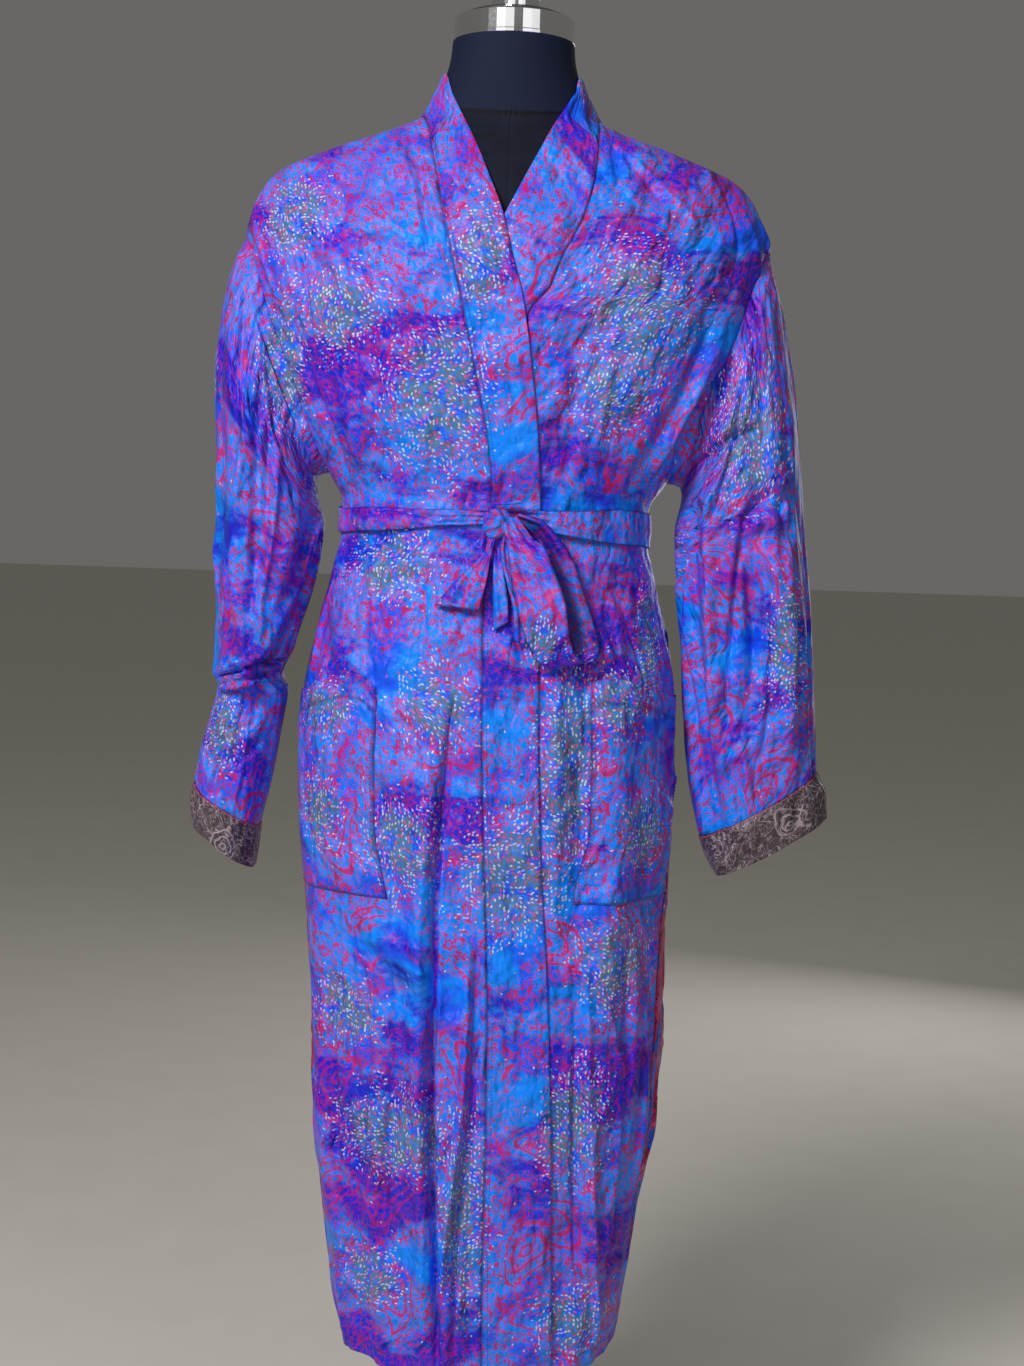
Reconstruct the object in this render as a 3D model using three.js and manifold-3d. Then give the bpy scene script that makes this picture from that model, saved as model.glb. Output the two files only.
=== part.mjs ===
// A long wrap robe of printed silk in the kimono cut, worn by a limbless dress form on a round base.
// Units are millimetres and +Z is up. The origin is the centre of the base's underside, and the
// robe's front faces -Y. "Right" and "left" are the wearer's: right is -X, and right laps over left.
// Every piece of the body is a wall raised from one surface, the body surface, which is worked out
// from the sections in BODY. A place on it is an angle round the body, 0 at the centre of the front
// and positive towards +X, and a height.
import * as THREE from "three";
import Module from "manifold-3d";
import { mergeVertices } from "three/addons/utils/BufferGeometryUtils.js";

// ---- Driving dimensions --------------------------------------------------------------------
const CLOTH = 1.5; // wall of one layer of silk
const BAND_CLOTH = 2.4; // wall of the folded neck band
const SEAM = 0.3; // gap between neighbouring pieces
const BELT_CLOTH = 2; // the belt's wall, two layers pressed flat
const LAP = 3.4; // how far the right front stands off the left front that it laps over
const HEM_Z = 245;
const NECK_Z = 1512; // seam of the neck band round the back of the neck
const COLLAR_Z = 1560; // free edge of the neck band at the back of the neck
const ARM_LOW = 1150; // underarm
const ARM_HIGH = 1385; // drop of the shoulder, where the armhole starts
const ARM_DEEP = 58; // half of the armhole's opening, front to back
const ARM_POINTS = 18; // points round the armhole and round each sleeve
const BELT_ROWS = [1084, 1120]; // the belt presses the robe straight between these heights
const WAIST_Z = (BELT_ROWS[0] + BELT_ROWS[1]) / 2;
const FORM_BOTTOM = 690;
const FORM_TOP = 1592; // underside of the metal neck cap
const POLE_RADIUS = 16;
const BASE_RADIUS = 190;
const BASE_HEIGHT = 12;

const RAD = Math.PI / 180;

// ---- Tables and curves ---------------------------------------------------------------------
// Rows of numbers become rows with named columns.
const table = (columns, rows) =>
  rows.map((row) =>
    Object.fromEntries(columns.split(" ").map((c, i) => [c, row[i]])),
  );

// A smooth curve through a table's rows that never overshoots them (a monotone cubic).
function curve(rows, xName, yName) {
  const xs = rows.map((r) => r[xName]);
  const ys = rows.map((r) => r[yName]);
  const slope = xs.slice(1).map((x, i) => (ys[i + 1] - ys[i]) / (x - xs[i]));
  const tangent = xs.map((_, i) => {
    if (i === 0) return slope[0];
    if (i === xs.length - 1) return slope[i - 1];
    const before = slope[i - 1];
    const after = slope[i];
    return before * after <= 0 ? 0 : (2 * before * after) / (before + after);
  });
  return (x) => {
    if (x <= xs[0]) return ys[0];
    if (x >= xs[xs.length - 1]) return ys[ys.length - 1];
    let i = 0;
    while (x > xs[i + 1]) i += 1;
    const h = xs[i + 1] - xs[i];
    const t = (x - xs[i]) / h;
    const a = (1 + 2 * t) * (1 - t) ** 2;
    const b = t * (1 - t) ** 2;
    const c = t * t * (3 - 2 * t);
    const d = t * t * (t - 1);
    return a * ys[i] + b * h * tangent[i] + c * ys[i + 1] + d * h * tangent[i + 1];
  };
}

const clamp01 = (t) => Math.min(1, Math.max(0, t));
const smooth = (from, to, x) => {
  const t = clamp01((x - from) / (to - from));
  return t * t * (3 - 2 * t);
};
const mix = (a, b, t) => a + (b - a) * t;
const steps = (from, to, count) =>
  Array.from({ length: count + 1 }, (_, i) => mix(from, to, i / count));

// ---- The body surface ----------------------------------------------------------------------
// Level sections of the robe's inner face: half widths to the wearer's right and left, depths to
// front and back, and how square the section is (2 is an ellipse).
const BODY = table("z right left front back square", [
  [240, 140, 150, 136, 140, 2.2],
  [300, 151, 160, 139, 142, 2.2],
  [400, 165, 173, 142, 144, 2.25],
  [500, 176, 186, 143, 144, 2.3],
  [600, 180, 190, 142, 143, 2.35],
  [700, 188, 189, 141, 142, 2.35],
  [780, 196, 190, 140, 142, 2.35],
  [860, 199, 189, 138, 141, 2.35],
  [930, 195, 187, 133, 137, 2.3],
  [1000, 181, 174, 124, 124, 2.25],
  [1055, 169, 162, 116, 111, 2.2],
  [BELT_ROWS[0], 162, 155, 110, 102, 2.2],
  [BELT_ROWS[1], 162, 155, 110, 102, 2.2],
  [1145, 174, 170, 116, 105, 2.25],
  [1180, 196, 194, 122, 109, 2.3],
  [1240, 227, 226, 128, 113, 2.3],
  [1300, 252, 250, 130, 116, 2.3],
  [1350, 264, 262, 126, 116, 2.2],
  [1390, 268, 266, 116, 112, 2.1],
  [1410, 264, 263, 109, 108, 2.05],
  [1430, 256, 255, 100, 104, 2],
  [1445, 246, 245, 93, 100, 2],
  [1457, 232, 231, 86, 96, 2],
  [1466, 213, 213, 81, 93, 2],
  [1475, 190, 190, 76, 91, 2],
  [1485, 164, 164, 71, 89, 2],
  [1495, 134, 134, 66, 87, 2],
  [1503, 112, 112, 62, 85, 2],
  [1512, 93, 93, 60, 84, 2],
  [1522, 86, 86, 59, 81, 2],
  [1535, 79, 79, 58, 78, 2],
  [1548, 73, 73, 57.5, 75.5, 2],
  [1560, 69, 69, 57, 74, 2],
  [1575, 67, 67, 57, 72, 2],
]);

// A place on a stack of level sections, before folds.
function sectionSurface(rows) {
  const names = ["right", "left", "front", "back", "square"];
  const [right, left, front, back, square] = names.map((name) => curve(rows, "z", name));
  return (angle, z) => {
    const s = Math.sin(angle * RAD);
    const c = Math.cos(angle * RAD);
    const n = square(z);
    const reach = (Math.abs(s) ** n + Math.abs(c) ** n) ** (-1 / n);
    const wide = s < 0 ? right(z) : left(z);
    const deep = c > 0 ? front(z) : back(z);
    return new THREE.Vector3(wide * s * reach, -deep * c * reach, z);
  };
}
const bodyBase = sectionSurface(BODY);

function outward(surface, angle, z) {
  const along = surface(angle + 0.2, z).sub(surface(angle - 0.2, z));
  const up = surface(angle, z + 0.5).sub(surface(angle, z - 0.5));
  return along.cross(up).normalize();
}

// The angle at which the body surface is a given distance x to the side, on its front.
const widthAt = { right: curve(BODY, "z", "right"), left: curve(BODY, "z", "left") };
const squareAt = curve(BODY, "z", "square");
function angleAtX(x, z) {
  const n = squareAt(z);
  const share = Math.min(0.9999, Math.abs(x) / (x < 0 ? widthAt.right : widthAt.left)(z));
  const q = share ** n;
  return (Math.sign(x) * Math.atan((q / (1 - q)) ** (1 / n))) / RAD;
}
// How far from 90 degrees the surface is a given depth y in front of or behind its sides.
const depthAt = { front: curve(BODY, "z", "front"), back: curve(BODY, "z", "back") };
function openingAngle(y, z, face) {
  const n = squareAt(z);
  const q = Math.min(0.9999, y / depthAt[face](z)) ** n;
  return 90 - Math.atan(1 / (q / (1 - q)) ** (1 / n)) / RAD;
}

// ---- Folds ---------------------------------------------------------------------------------
// Each fold is a soft ridge that runs down the cloth from one angle and height to another. Its two
// flanks have their own widths, in degrees, so that a pleat can fall steeply on one side.
const FOLDS = table("angle1 z1 angle2 z2 before after height", [
  [-20, 930, -14, 225, 8, 5, 12], // the deep pleat beside the band
  [-8, 640, -6, 225, 4, 4, 7],
  [-36, 740, -34, 225, 7, 8, 9],
  [-60, 760, -58, 225, 9, 8, 8],
  [-20, 1190, -30, 1060, 4, 4, 3],
  [-30, 1440, -48, 1160, 7, 7, 5],
  [-52, 1060, -47, 940, 6, 6, 4],
  [38, 980, 39, 225, 5, 8, 9], // rises beside the right front's edge
  [49, 720, 48, 225, 3, 6, 7],
  [62, 700, 60, 225, 6, 6, 5],
  [34, 1060, 40, 900, 5, 5, 4],
  [30, 1430, 44, 1150, 7, 8, 5],
  [60, 1330, 50, 1130, 5, 6, 5],
  [112, 880, 106, 225, 6, 8, 8],
  [138, 1060, 132, 225, 7, 6, 12],
  [160, 1000, 158, 225, 6, 7, 9],
  [184, 1065, 182, 225, 7, 7, 13],
  [207, 980, 208, 225, 6, 6, 9],
  [230, 1055, 232, 225, 8, 6, 12],
  [254, 860, 256, 225, 7, 6, 7],
  [150, 1420, 146, 1150, 9, 9, 6],
  [212, 1420, 214, 1150, 9, 9, 6],
]);

const FOLD_START = 110; // a fold grows to its full height over this length
function foldHeight(angle, z) {
  const cinch = smooth(22, 90, Math.abs(z - WAIST_Z)); // the belt presses the folds flat
  return FOLDS.reduce((sum, f) => {
    const along = (f.z1 - z) / (f.z1 - f.z2);
    const off = ((angle - mix(f.angle1, f.angle2, along) + 900) % 360) - 180;
    const wide = off < 0 ? f.before : f.after;
    const started = smooth(f.z1 + 20, f.z1 - FOLD_START, z);
    const ended = f.z2 > HEM_Z ? smooth(f.z2 - 20, f.z2 + FOLD_START, z) : 1;
    return sum + f.height * Math.exp(-((off / wide) ** 2)) * started * ended * cinch;
  }, 0);
}

// The right front rises over the left front's band, and lies back on the form at the shoulder.
const lapLift = (angle, z) => LAP * smooth(-42, -28, angle) * smooth(1470, 1415, z);

// A place on a layer of the body, raised from the body surface along its normal. Where the layer
// is lapped or sewn to a band it stays smooth.
const layer = (foldShare, lift) => (angle, z, out) =>
  bodyBase(angle, z).addScaledVector(
    outward(bodyBase, angle, z),
    out + foldHeight(angle, z) * foldShare(angle, z) + lift(angle, z),
  );
const FOLD_CLEAR = 7; // degrees over which the folds rise beside a band
const onRight = layer(
  (angle, z) => smooth(0, FOLD_CLEAR, angleAtX(seam.right(z), z) - angle),
  lapLift,
);
const onLeft = layer(
  (angle, z) => smooth(0.5, FOLD_CLEAR, angle - angleAtX(Math.max(free.right(z), seam.left(z)), z)),
  () => 0,
);
const onBack = layer(() => 1, () => 0);
const onBand = (lift) => layer(() => 0, lift);

// ---- Walls ---------------------------------------------------------------------------------
// A closed wall between two grids of points. A grid that is closed across has its last column
// joined to its first.
function wallGeometry(inner, outer, closed = false) {
  const rows = inner.length;
  const cols = inner[0].length;
  const points = [...inner.flat(), ...outer.flat()];
  const id = (side, i, j) => side * rows * cols + i * cols + (j % cols);
  const faces = [];
  const quad = (a, b, c, d) => faces.push(a, b, c, a, c, d);
  const lastCol = closed ? cols : cols - 1;
  for (let i = 0; i < rows - 1; i += 1)
    for (let j = 0; j < lastCol; j += 1) {
      quad(id(0, i, j), id(0, i + 1, j), id(0, i + 1, j + 1), id(0, i, j + 1));
      quad(id(1, i, j), id(1, i, j + 1), id(1, i + 1, j + 1), id(1, i + 1, j));
    }
  for (let j = 0; j < lastCol; j += 1) {
    quad(id(0, 0, j), id(0, 0, j + 1), id(1, 0, j + 1), id(1, 0, j));
    quad(
      id(1, rows - 1, j),
      id(1, rows - 1, j + 1),
      id(0, rows - 1, j + 1),
      id(0, rows - 1, j),
    );
  }
  if (!closed)
    for (let i = 0; i < rows - 1; i += 1) {
      quad(id(1, i, 0), id(1, i + 1, 0), id(0, i + 1, 0), id(0, i, 0));
      quad(
        id(0, i, cols - 1),
        id(0, i + 1, cols - 1),
        id(1, i + 1, cols - 1),
        id(1, i, cols - 1),
      );
    }
  return facingOut(points, faces);
}

// Builds the geometry, turning every face round if they point inwards.
function facingOut(points, faces) {
  let volume = 0;
  for (let k = 0; k < faces.length; k += 3) {
    const [a, b, c] = [0, 1, 2].map((m) => points[faces[k + m]]);
    volume += a.dot(b.clone().cross(c));
  }
  const index =
    volume > 0 ? faces : faces.map((_, k) => faces[k - (k % 3) + [0, 2, 1][k % 3]]);
  const geometry = new THREE.BufferGeometry().setFromPoints(points);
  geometry.setIndex(index);
  geometry.computeVertexNormals();
  return geometry;
}

// A wall raised on both sides of a sheet of points, along the sheet's own normals.
function sheetWall(sheet, thick, closed = false) {
  const rows = sheet.length;
  const cols = sheet[0].length;
  const at = (i, j) =>
    sheet[Math.min(rows - 1, Math.max(0, i))][
      closed ? (j + cols) % cols : Math.min(cols - 1, Math.max(0, j))
    ];
  const normal = (i, j) =>
    at(i, j + 1).clone().sub(at(i, j - 1))
      .cross(at(i + 1, j).clone().sub(at(i - 1, j)))
      .normalize();
  const raised = (way) =>
    sheet.map((row, i) =>
      row.map((p, j) => p.clone().addScaledVector(normal(i, j), (way * thick) / 2)),
    );
  return wallGeometry(raised(-1), raised(1), closed);
}

const robe = new THREE.Group();
const silk = (color) => new THREE.MeshStandardMaterial({ color, roughness: 0.42, metalness: 0 });
const PRINT = 0x3b45c8;
const CUFF_PRINT = 0x4d4048;

function add(name, geometry, material) {
  const mesh = new THREE.Mesh(geometry, material);
  mesh.name = name;
  robe.add(mesh);
}

// ---- Rows and edges of the body panels -------------------------------------------------------
// The armhole is an oval on the body surface. Its points and the panels' rows share their heights.
const armMiddle = (ARM_HIGH + ARM_LOW) / 2;
const armHalf = (ARM_HIGH - ARM_LOW) / 2;
const armTurn = (i) => (2 * Math.PI * i) / ARM_POINTS;
const ARM_ROWS = steps(ARM_POINTS / 2, 0, ARM_POINTS / 2).map(
  (i) => armMiddle + armHalf * Math.cos(armTurn(i)),
);
const LOW_ROWS = [...steps(HEM_Z, 725, 5), 790, 855, 920, 985, 1040, ...BELT_ROWS];
const HIGH_ROWS = [1410, 1430, 1446, 1460, 1473, 1486, 1495, 1503, NECK_Z];
const ROWS = [...LOW_ROWS, ...ARM_ROWS, ...HIGH_ROWS];

// Where each front is sewn to its band, and the band's free edge: distances from the centre line.
const SEAMS = table("z right left", [
  [240, 12, 22],
  [360, 9, 18],
  [520, 8, 10],
  [665, 4, 4],
  [800, -4, -2],
  [960, -10, -8],
  [1060, -11, -12],
  [1136, -7, -12],
  [1200, -15, -6],
  [1240, -24, 3],
  [1311, -40, 26],
  [1333, -45, 44],
  [1363, -53, 55],
  [1405, -63, 75],
  [1448, -72, 86],
  [1475, -78, 88],
  [1495, -82, 89],
  [1503, -85, 90],
  [NECK_Z, -88, 88],
]);
const FREE_EDGES = table("z right left", [
  [240, 80, -40],
  [360, 77, -44],
  [520, 71, -50],
  [665, 62, -56],
  [800, 51, -60],
  [960, 45, -66],
  [1060, 43, -68],
  [1136, 41, -68],
  [1200, 36, -66],
  [1241, 31, -62],
  [1322, 18, -40],
  [1364, 6, -22],
  [1404, -4, -3],
  [1435, -16, 12],
  [1471, -30, 29],
  [1499, -43, 42],
  [1532, -59, 60],
  [1541, -62, 65],
  [1549, -64, 65.5],
  [1557, -67, 67],
]);
// How much higher the free edge lies than the seam, measured square across the band.
const BAND_RISE = table("z right left", [
  [1136, 0, 0],
  [1200, 8, 10],
  [1240, 11, 20],
  [1311, 13, 30],
  [1363, 12, 31],
  [1405, 16, 33],
  [1424, 24, 35],
  [1448, 35, 40],
  [1475, 43, 44],
  [1486, 46, 45],
  [NECK_Z, 45, 45],
]);
const bySide = (rows) => ({ right: curve(rows, "z", "right"), left: curve(rows, "z", "left") });
const seam = bySide(SEAMS);
const free = bySide(FREE_EDGES);
const rise = bySide(BAND_RISE);

// The side seams swing forward below the hips, where the back panel wraps round.
const SIDES = table("z right left", [
  [240, -84, 86],
  [290, -80, 82],
  [360, -75, 72],
  [450, -72, 64],
  [600, -73, 62],
  [700, -78, 69],
  [745, -84, 77],
  [800, -90, 88],
  [860, -90, 90],
]);
const sideAngle = bySide(SIDES);

// Degrees that span a small distance along the surface.
function degreesFor(distance, angle, z) {
  const perDegree = bodyBase(angle + 0.5, z).distanceTo(bodyBase(angle - 0.5, z));
  return distance / perDegree;
}

// The outer limit of a panel at a height: the side seam, the armhole or the shoulder seam.
function panelLimit(side, face, z) {
  const sign = side === "right" ? -1 : 1;
  const away = face === "front" ? -1 : 1;
  if (z > ARM_LOW + 0.01 && z < ARM_HIGH - 0.01) {
    const deep = ARM_DEEP * Math.sqrt(1 - ((z - armMiddle) / armHalf) ** 2);
    return sign * (90 + away * openingAngle(deep, z, face));
  }
  const sewn = sideAngle[side](z);
  return sewn + sign * away * degreesFor(SEAM / 2, sewn, z);
}

// ---- Panels --------------------------------------------------------------------------------
const FRONT_COLS = 17;
const BACK_COLS = 24;
const COLS_CROWD = 1.18; // crowds a front's columns towards its band, where the pleats are

function frontAngles(side, z) {
  const away = side === "right" ? -1 : 1;
  const inner = angleAtX(seam[side](z) + (away * SEAM) / 2, z);
  const limit = panelLimit(side, "front", z);
  return steps(0, 1, FRONT_COLS).map((u) => mix(inner, limit, u ** COLS_CROWD));
}
function backAngles(z) {
  return steps(panelLimit("left", "back", z), 360 + panelLimit("right", "back", z), BACK_COLS);
}
// Raises a wall from rows of angles on one layer of the body.
function raise(rows, anglesAt, place, low, high) {
  const grid = (out) => rows.map((z) => anglesAt(z).map((a) => place(a, z, out)));
  return wallGeometry(grid(low), grid(high));
}
add("front_right", raise(ROWS, (z) => frontAngles("right", z), onRight, 0, CLOTH), silk(PRINT));
add("front_left", raise(ROWS, (z) => frontAngles("left", z), onLeft, 0, CLOTH), silk(PRINT));
add("back", raise(ROWS, backAngles, onBack, 0, CLOTH), silk(PRINT));

// ---- Patch pockets, on the panels' own points --------------------------------------------------
// The mouth rises from the side towards the front and drops again at its last corner: each column
// gives how far the mouth lies between the panel's row below it and the row above it.
const MOUTH_GAPE = 0.8; // how far the mouth stands off the panel
const POCKET_LOW = 725;
const POCKET_HIGH = 920;
const POCKETS = {
  right: { first: 7, mouth: [0.16, 0.36, 0.4, 0.36, 0.3, 0.22, 0.14, 0.08, 0.04, 0.02] },
  left: { first: 7, mouth: [0.42, 0.44, 0.42, 0.38, 0.34, 0.28, 0.2, 0.14, 0.1, 0.12] },
};
function pocket(side, place) {
  const { first, mouth } = POCKETS[side];
  const rows = ROWS.filter((z) => z >= POCKET_LOW && z <= POCKET_HIGH);
  const above = ROWS[ROWS.indexOf(POCKET_HIGH) + 1];
  const row = (z, out) =>
    frontAngles(side, z).slice(first, first + mouth.length).map((a) => place(a, z, out));
  const grid = (out) => {
    const [low, high] = [POCKET_HIGH, above].map((z) => row(z, out + MOUTH_GAPE));
    return [...rows.map((z) => row(z, out)), low.map((p, j) => p.lerp(high[j], mouth[j]))];
  };
  return wallGeometry(grid(CLOTH + SEAM), grid(2 * CLOTH + SEAM));
}
add("pocket_right", pocket("right", onRight), silk(PRINT));
add("pocket_left", pocket("left", onLeft), silk(PRINT));

// ---- Neck bands ------------------------------------------------------------------------------
// Each band runs from the hem up its front's edge and round the neck to the centre of the back.
// Across the band the rows run from the seam to the free edge, which climbs the neck as a collar.
const BAND_COLS = 3;
const COLLAR_STEPS = 10;
const between = (from, to) => steps(0, 1, BAND_COLS).map((t) => from.map((v, k) => mix(v, to[k], t)));
function bandRow(side, z) {
  const inner = side === "right" ? 1 : -1;
  const top = z + rise[side](z);
  return between(
    [angleAtX(seam[side](z) + (inner * SEAM) / 2, z), z],
    [angleAtX(free[side](top), top), top],
  );
}
// Rows round the neck, from above the shoulder to the seam at the centre of the back.
function collarRow(side, t) {
  const sign = side === "right" ? -1 : 1;
  const end = sign * (180 - degreesFor(SEAM / 2, 180, COLLAR_Z));
  const [[startLow], , , [startHigh]] = bandRow(side, NECK_Z);
  return between(
    [mix(startLow, end, t), NECK_Z + SEAM],
    [mix(startHigh, end, t), mix(NECK_Z + rise[side](NECK_Z), COLLAR_Z, smooth(0, 0.4, t))],
  );
}
function band(side, lift) {
  const place = onBand(lift);
  const rows = [
    ...ROWS.slice(0, -1).map((z) => bandRow(side, z)),
    ...steps(0, 1, COLLAR_STEPS).map((t) => collarRow(side, t)),
  ];
  const grid = (out) => rows.map((row) => row.map(([a, z]) => place(a, z, out)));
  return wallGeometry(grid(0), grid(BAND_CLOTH));
}
const bandLift = (angle, z) => LAP * smooth(1470, 1415, z);
add("band_right", band("right", bandLift), silk(PRINT));
add("band_left", band("left", () => 0), silk(PRINT));

// ---- Sleeves and cuffs -------------------------------------------------------------------------
// Each row is one ring of an empty sleeve as it hangs: its outer and inner edges seen from the
// front, x measured from the centre line, then its half depth and the place of its middle in y.
const SLEEVE_COLUMNS = "outX outZ inX inZ deep y";
const RIGHT_SLEEVE = table(SLEEVE_COLUMNS, [
  [277, 1372, 189, 1145, 62, -2],
  [286, 1343, 191, 1137, 66, -3],
  [293, 1300, 190, 1128, 71, -4],
  [297, 1245, 187, 1118, 74, -4],
  [296, 1190, 184, 1106, 75, -4],
  [294, 1135, 182, 1090, 77, -4],
  [291, 1080, 184, 1064, 77, -5],
  [291, 1030, 191, 1028, 75, -6],
  [291, 985, 202, 990, 72, -8],
  [292, 955, 212, 959, 69, -8],
  [293, 938, 220, 938, 69, -8],
  [287, 924, 215, 920, 61, -8],
  [294, 892, 221, 880, 60, -9],
  [303, 857, 229, 829, 60, -10],
  [309, 822, 239, 780, 60, -11],
]);
const RIGHT_CUFF = table(SLEEVE_COLUMNS, [
  [312, 802, 241, 757, 58, -11],
  [309, 783, 244, 735, 56, -11],
]);
const LEFT_SLEEVE = table(SLEEVE_COLUMNS, [
  [273, 1371, 189, 1145, 62, -2],
  [281, 1340, 191, 1137, 67, -3],
  [290, 1297, 190, 1129, 70, -4],
  [300, 1248, 188, 1121, 71, -5],
  [308, 1200, 186, 1112, 70, -6],
  [314, 1150, 185, 1098, 69, -7],
  [320, 1095, 186, 1072, 67, -8],
  [327, 1040, 189, 1034, 65, -9],
  [332, 987, 194, 982, 62, -10],
  [336, 938, 198, 922, 59, -10],
  [339, 896, 206, 850, 56, -10],
  [342, 854, 222, 782, 53, -10],
]);
const LEFT_CUFF = table(SLEEVE_COLUMNS, [
  [351, 831, 229, 762, 52, -10],
  [352, 806, 240, 742, 49, -10],
]);
// Folds that run down a sleeve: the turn round the ring (0 outer, 90 front, 180 inner), the rows
// where the fold starts and ends, its width in degrees and its height (negative is a trough).
const SLEEVE_FOLD_COLUMNS = "turn1 row1 turn2 row2 wide height";
const RIGHT_SLEEVE_FOLDS = table(SLEEVE_FOLD_COLUMNS, [
  [150, 6, 118, 12, 16, -13],
  [128, 6, 92, 12, 14, 6],
  [52, 1, 64, 7, 13, 6],
  [30, 3, 34, 11, 14, -5],
  [95, 12, 100, 16, 18, -5],
  [250, 3, 262, 12, 20, 7],
  [300, 5, 290, 14, 18, -7],
]);
const LEFT_SLEEVE_FOLDS = table(SLEEVE_FOLD_COLUMNS, [
  [150, 5, 140, 12, 13, -12],
  [118, 1, 124, 12, 13, 7],
  [66, 3, 88, 8, 12, -7],
  [48, 4, 58, 11, 13, 6],
  [20, 7, 14, 12, 12, -6],
  [250, 3, 258, 11, 20, 7],
  [300, 4, 292, 12, 18, -7],
]);
function sleeveFold(folds, turn, row) {
  return folds.reduce((sum, f) => {
    const along = (row - f.row1) / (f.row2 - f.row1);
    const centre = mix(f.turn1, f.turn2, along);
    const off = ((turn - centre + 540) % 360) - 180;
    const shown = smooth(-0.25, 0.2, along) * smooth(1.25, 0.85, along);
    return sum + f.height * Math.exp(-((off / f.wide) ** 2)) * shown;
  }, 0);
}
function ring(r, sign, folds, row) {
  const middle = new THREE.Vector3(((r.outX + r.inX) / 2) * sign, r.y, (r.outZ + r.inZ) / 2);
  const arm = new THREE.Vector3(((r.outX - r.inX) / 2) * sign, 0, (r.outZ - r.inZ) / 2);
  const long = arm.length();
  arm.normalize();
  return steps(0, ARM_POINTS - 1, ARM_POINTS - 1).map((i) => {
    const turn = armTurn(i);
    const fold = sleeveFold(folds, turn / RAD, row);
    const grown = 1 + fold / Math.max(r.deep, long);
    return middle
      .clone()
      .addScaledVector(arm, Math.cos(turn) * long * grown)
      .add(new THREE.Vector3(0, -Math.sin(turn) * r.deep * grown, 0));
  });
}
// The sleeve's first ring follows the armhole, just inside the panels' edges.
const ARM_SEAT = 1.25;
function armholeRing(sign, place) {
  return steps(0, ARM_POINTS - 1, ARM_POINTS - 1).map((i) => {
    const turn = armTurn(i);
    const z = armMiddle + (armHalf - ARM_SEAT) * Math.cos(turn);
    const deep = Math.abs(Math.sin(turn)) * (ARM_DEEP - ARM_SEAT);
    const face = Math.sin(turn) >= 0 ? "front" : "back";
    const open = openingAngle(deep, z, face) * (face === "front" ? -1 : 1);
    return place(sign * (90 + open), z, CLOTH / 2);
  });
}
const onBare = layer(() => 0, () => 0);
function sleeve(sign, rows, folds) {
  const rings = rows.map((r, i) => ring(r, sign, folds, i + 1));
  return sheetWall([armholeRing(sign, onBare), ...rings], CLOTH, true);
}
add("sleeve_right", sleeve(-1, RIGHT_SLEEVE, RIGHT_SLEEVE_FOLDS), silk(PRINT));
add("sleeve_left", sleeve(1, LEFT_SLEEVE, LEFT_SLEEVE_FOLDS), silk(PRINT));

// A cuff starts just below its sleeve's last ring, which is tilted.
const CUFF_DROP = 1.5 * SEAM;
function cuff(sign, sleeveRows, rows, folds) {
  const last = sleeveRows.length;
  const start = { ...sleeveRows[last - 1] };
  start.outZ -= CUFF_DROP;
  start.inZ -= CUFF_DROP;
  const rings = [start, ...rows].map((r, i) => ring(r, sign, folds, last + i));
  return sheetWall(rings, CLOTH, true);
}
add("cuff_right", cuff(-1, RIGHT_SLEEVE, RIGHT_CUFF, RIGHT_SLEEVE_FOLDS), silk(CUFF_PRINT));
add("cuff_left", cuff(1, LEFT_SLEEVE, LEFT_CUFF, LEFT_SLEEVE_FOLDS), silk(CUFF_PRINT));

// ---- Belt and bow ------------------------------------------------------------------------------
// The belt's lower and upper edges round the waist. It is crushed narrow where it enters the knot.
const BELT = table("angle low high", [
  [-180, 1083, 1119],
  [-130, 1085, 1118],
  [-90, 1087, 1113],
  [-45, 1089, 1113],
  [-14, 1098, 1114],
  [0, 1100, 1113],
  [16, 1094, 1115],
  [45, 1085, 1118],
  [90, 1080, 1117],
  [130, 1082, 1119],
  [180, 1083, 1119],
]);
const beltLow = curve(BELT, "angle", "low");
const beltHigh = curve(BELT, "angle", "high");
const BELT_COLS = 56;
const BELT_OFF = LAP + BAND_CLOTH + 1.2; // over the lapped bands
const BELT_OFF_SIDES = CLOTH + 1.2; // over one layer of cloth
const beltLift = (angle) =>
  mix(BELT_OFF_SIDES, BELT_OFF, smooth(-62, -44, angle) * smooth(46, 26, angle));
function belt() {
  const turns = steps(-180, 180, BELT_COLS).slice(0, BELT_COLS);
  const grid = (out) =>
    [0, 1].map((t) =>
      turns.map((a) => onBare(a, mix(beltLow(a), beltHigh(a), t), beltLift(a) + out)),
    );
  return wallGeometry(grid(0), grid(BELT_CLOTH), true);
}
add("belt", belt(), silk(PRINT));

// A place in front of the robe: a distance x to the side, a height, and how far it stands off.
const offFront = (x, z, off) => onBare(angleAtX(x, z), z, BELT_OFF + off);

// A ribbon between two edges. Each row gives both edges' x, height and distance off the robe.
const RIBBON_COLUMNS = "x1 z1 off1 x2 z2 off2";
const BOW_LOOP = table(RIBBON_COLUMNS, [
  [3, 1105, 13, 18, 1109, 14], // the front strand leaves the knot
  [7, 1090, 17, 30, 1091, 20],
  [9, 1077, 19, 39, 1077, 25],
  [14, 1044, 22, 54, 1044, 29],
  [21, 1013, 22, 62, 1019, 30],
  [30, 984, 19, 67, 992, 27],
  [43, 963, 13, 73, 973, 22],
  [57, 958, 7.5, 87, 965, 16], // turns under
  [67, 966, 4, 99, 975, 10],
  [63, 990, 3, 97, 992, 8],
  [54, 1022, 3, 87, 1022, 8],
  [42, 1056, 3.5, 74, 1058, 9],
  [29, 1082, 4, 57, 1090, 10],
  [16, 1096, 5, 40, 1106, 10],
  [6, 1100, 6, 20, 1112, 9],
]);
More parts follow.
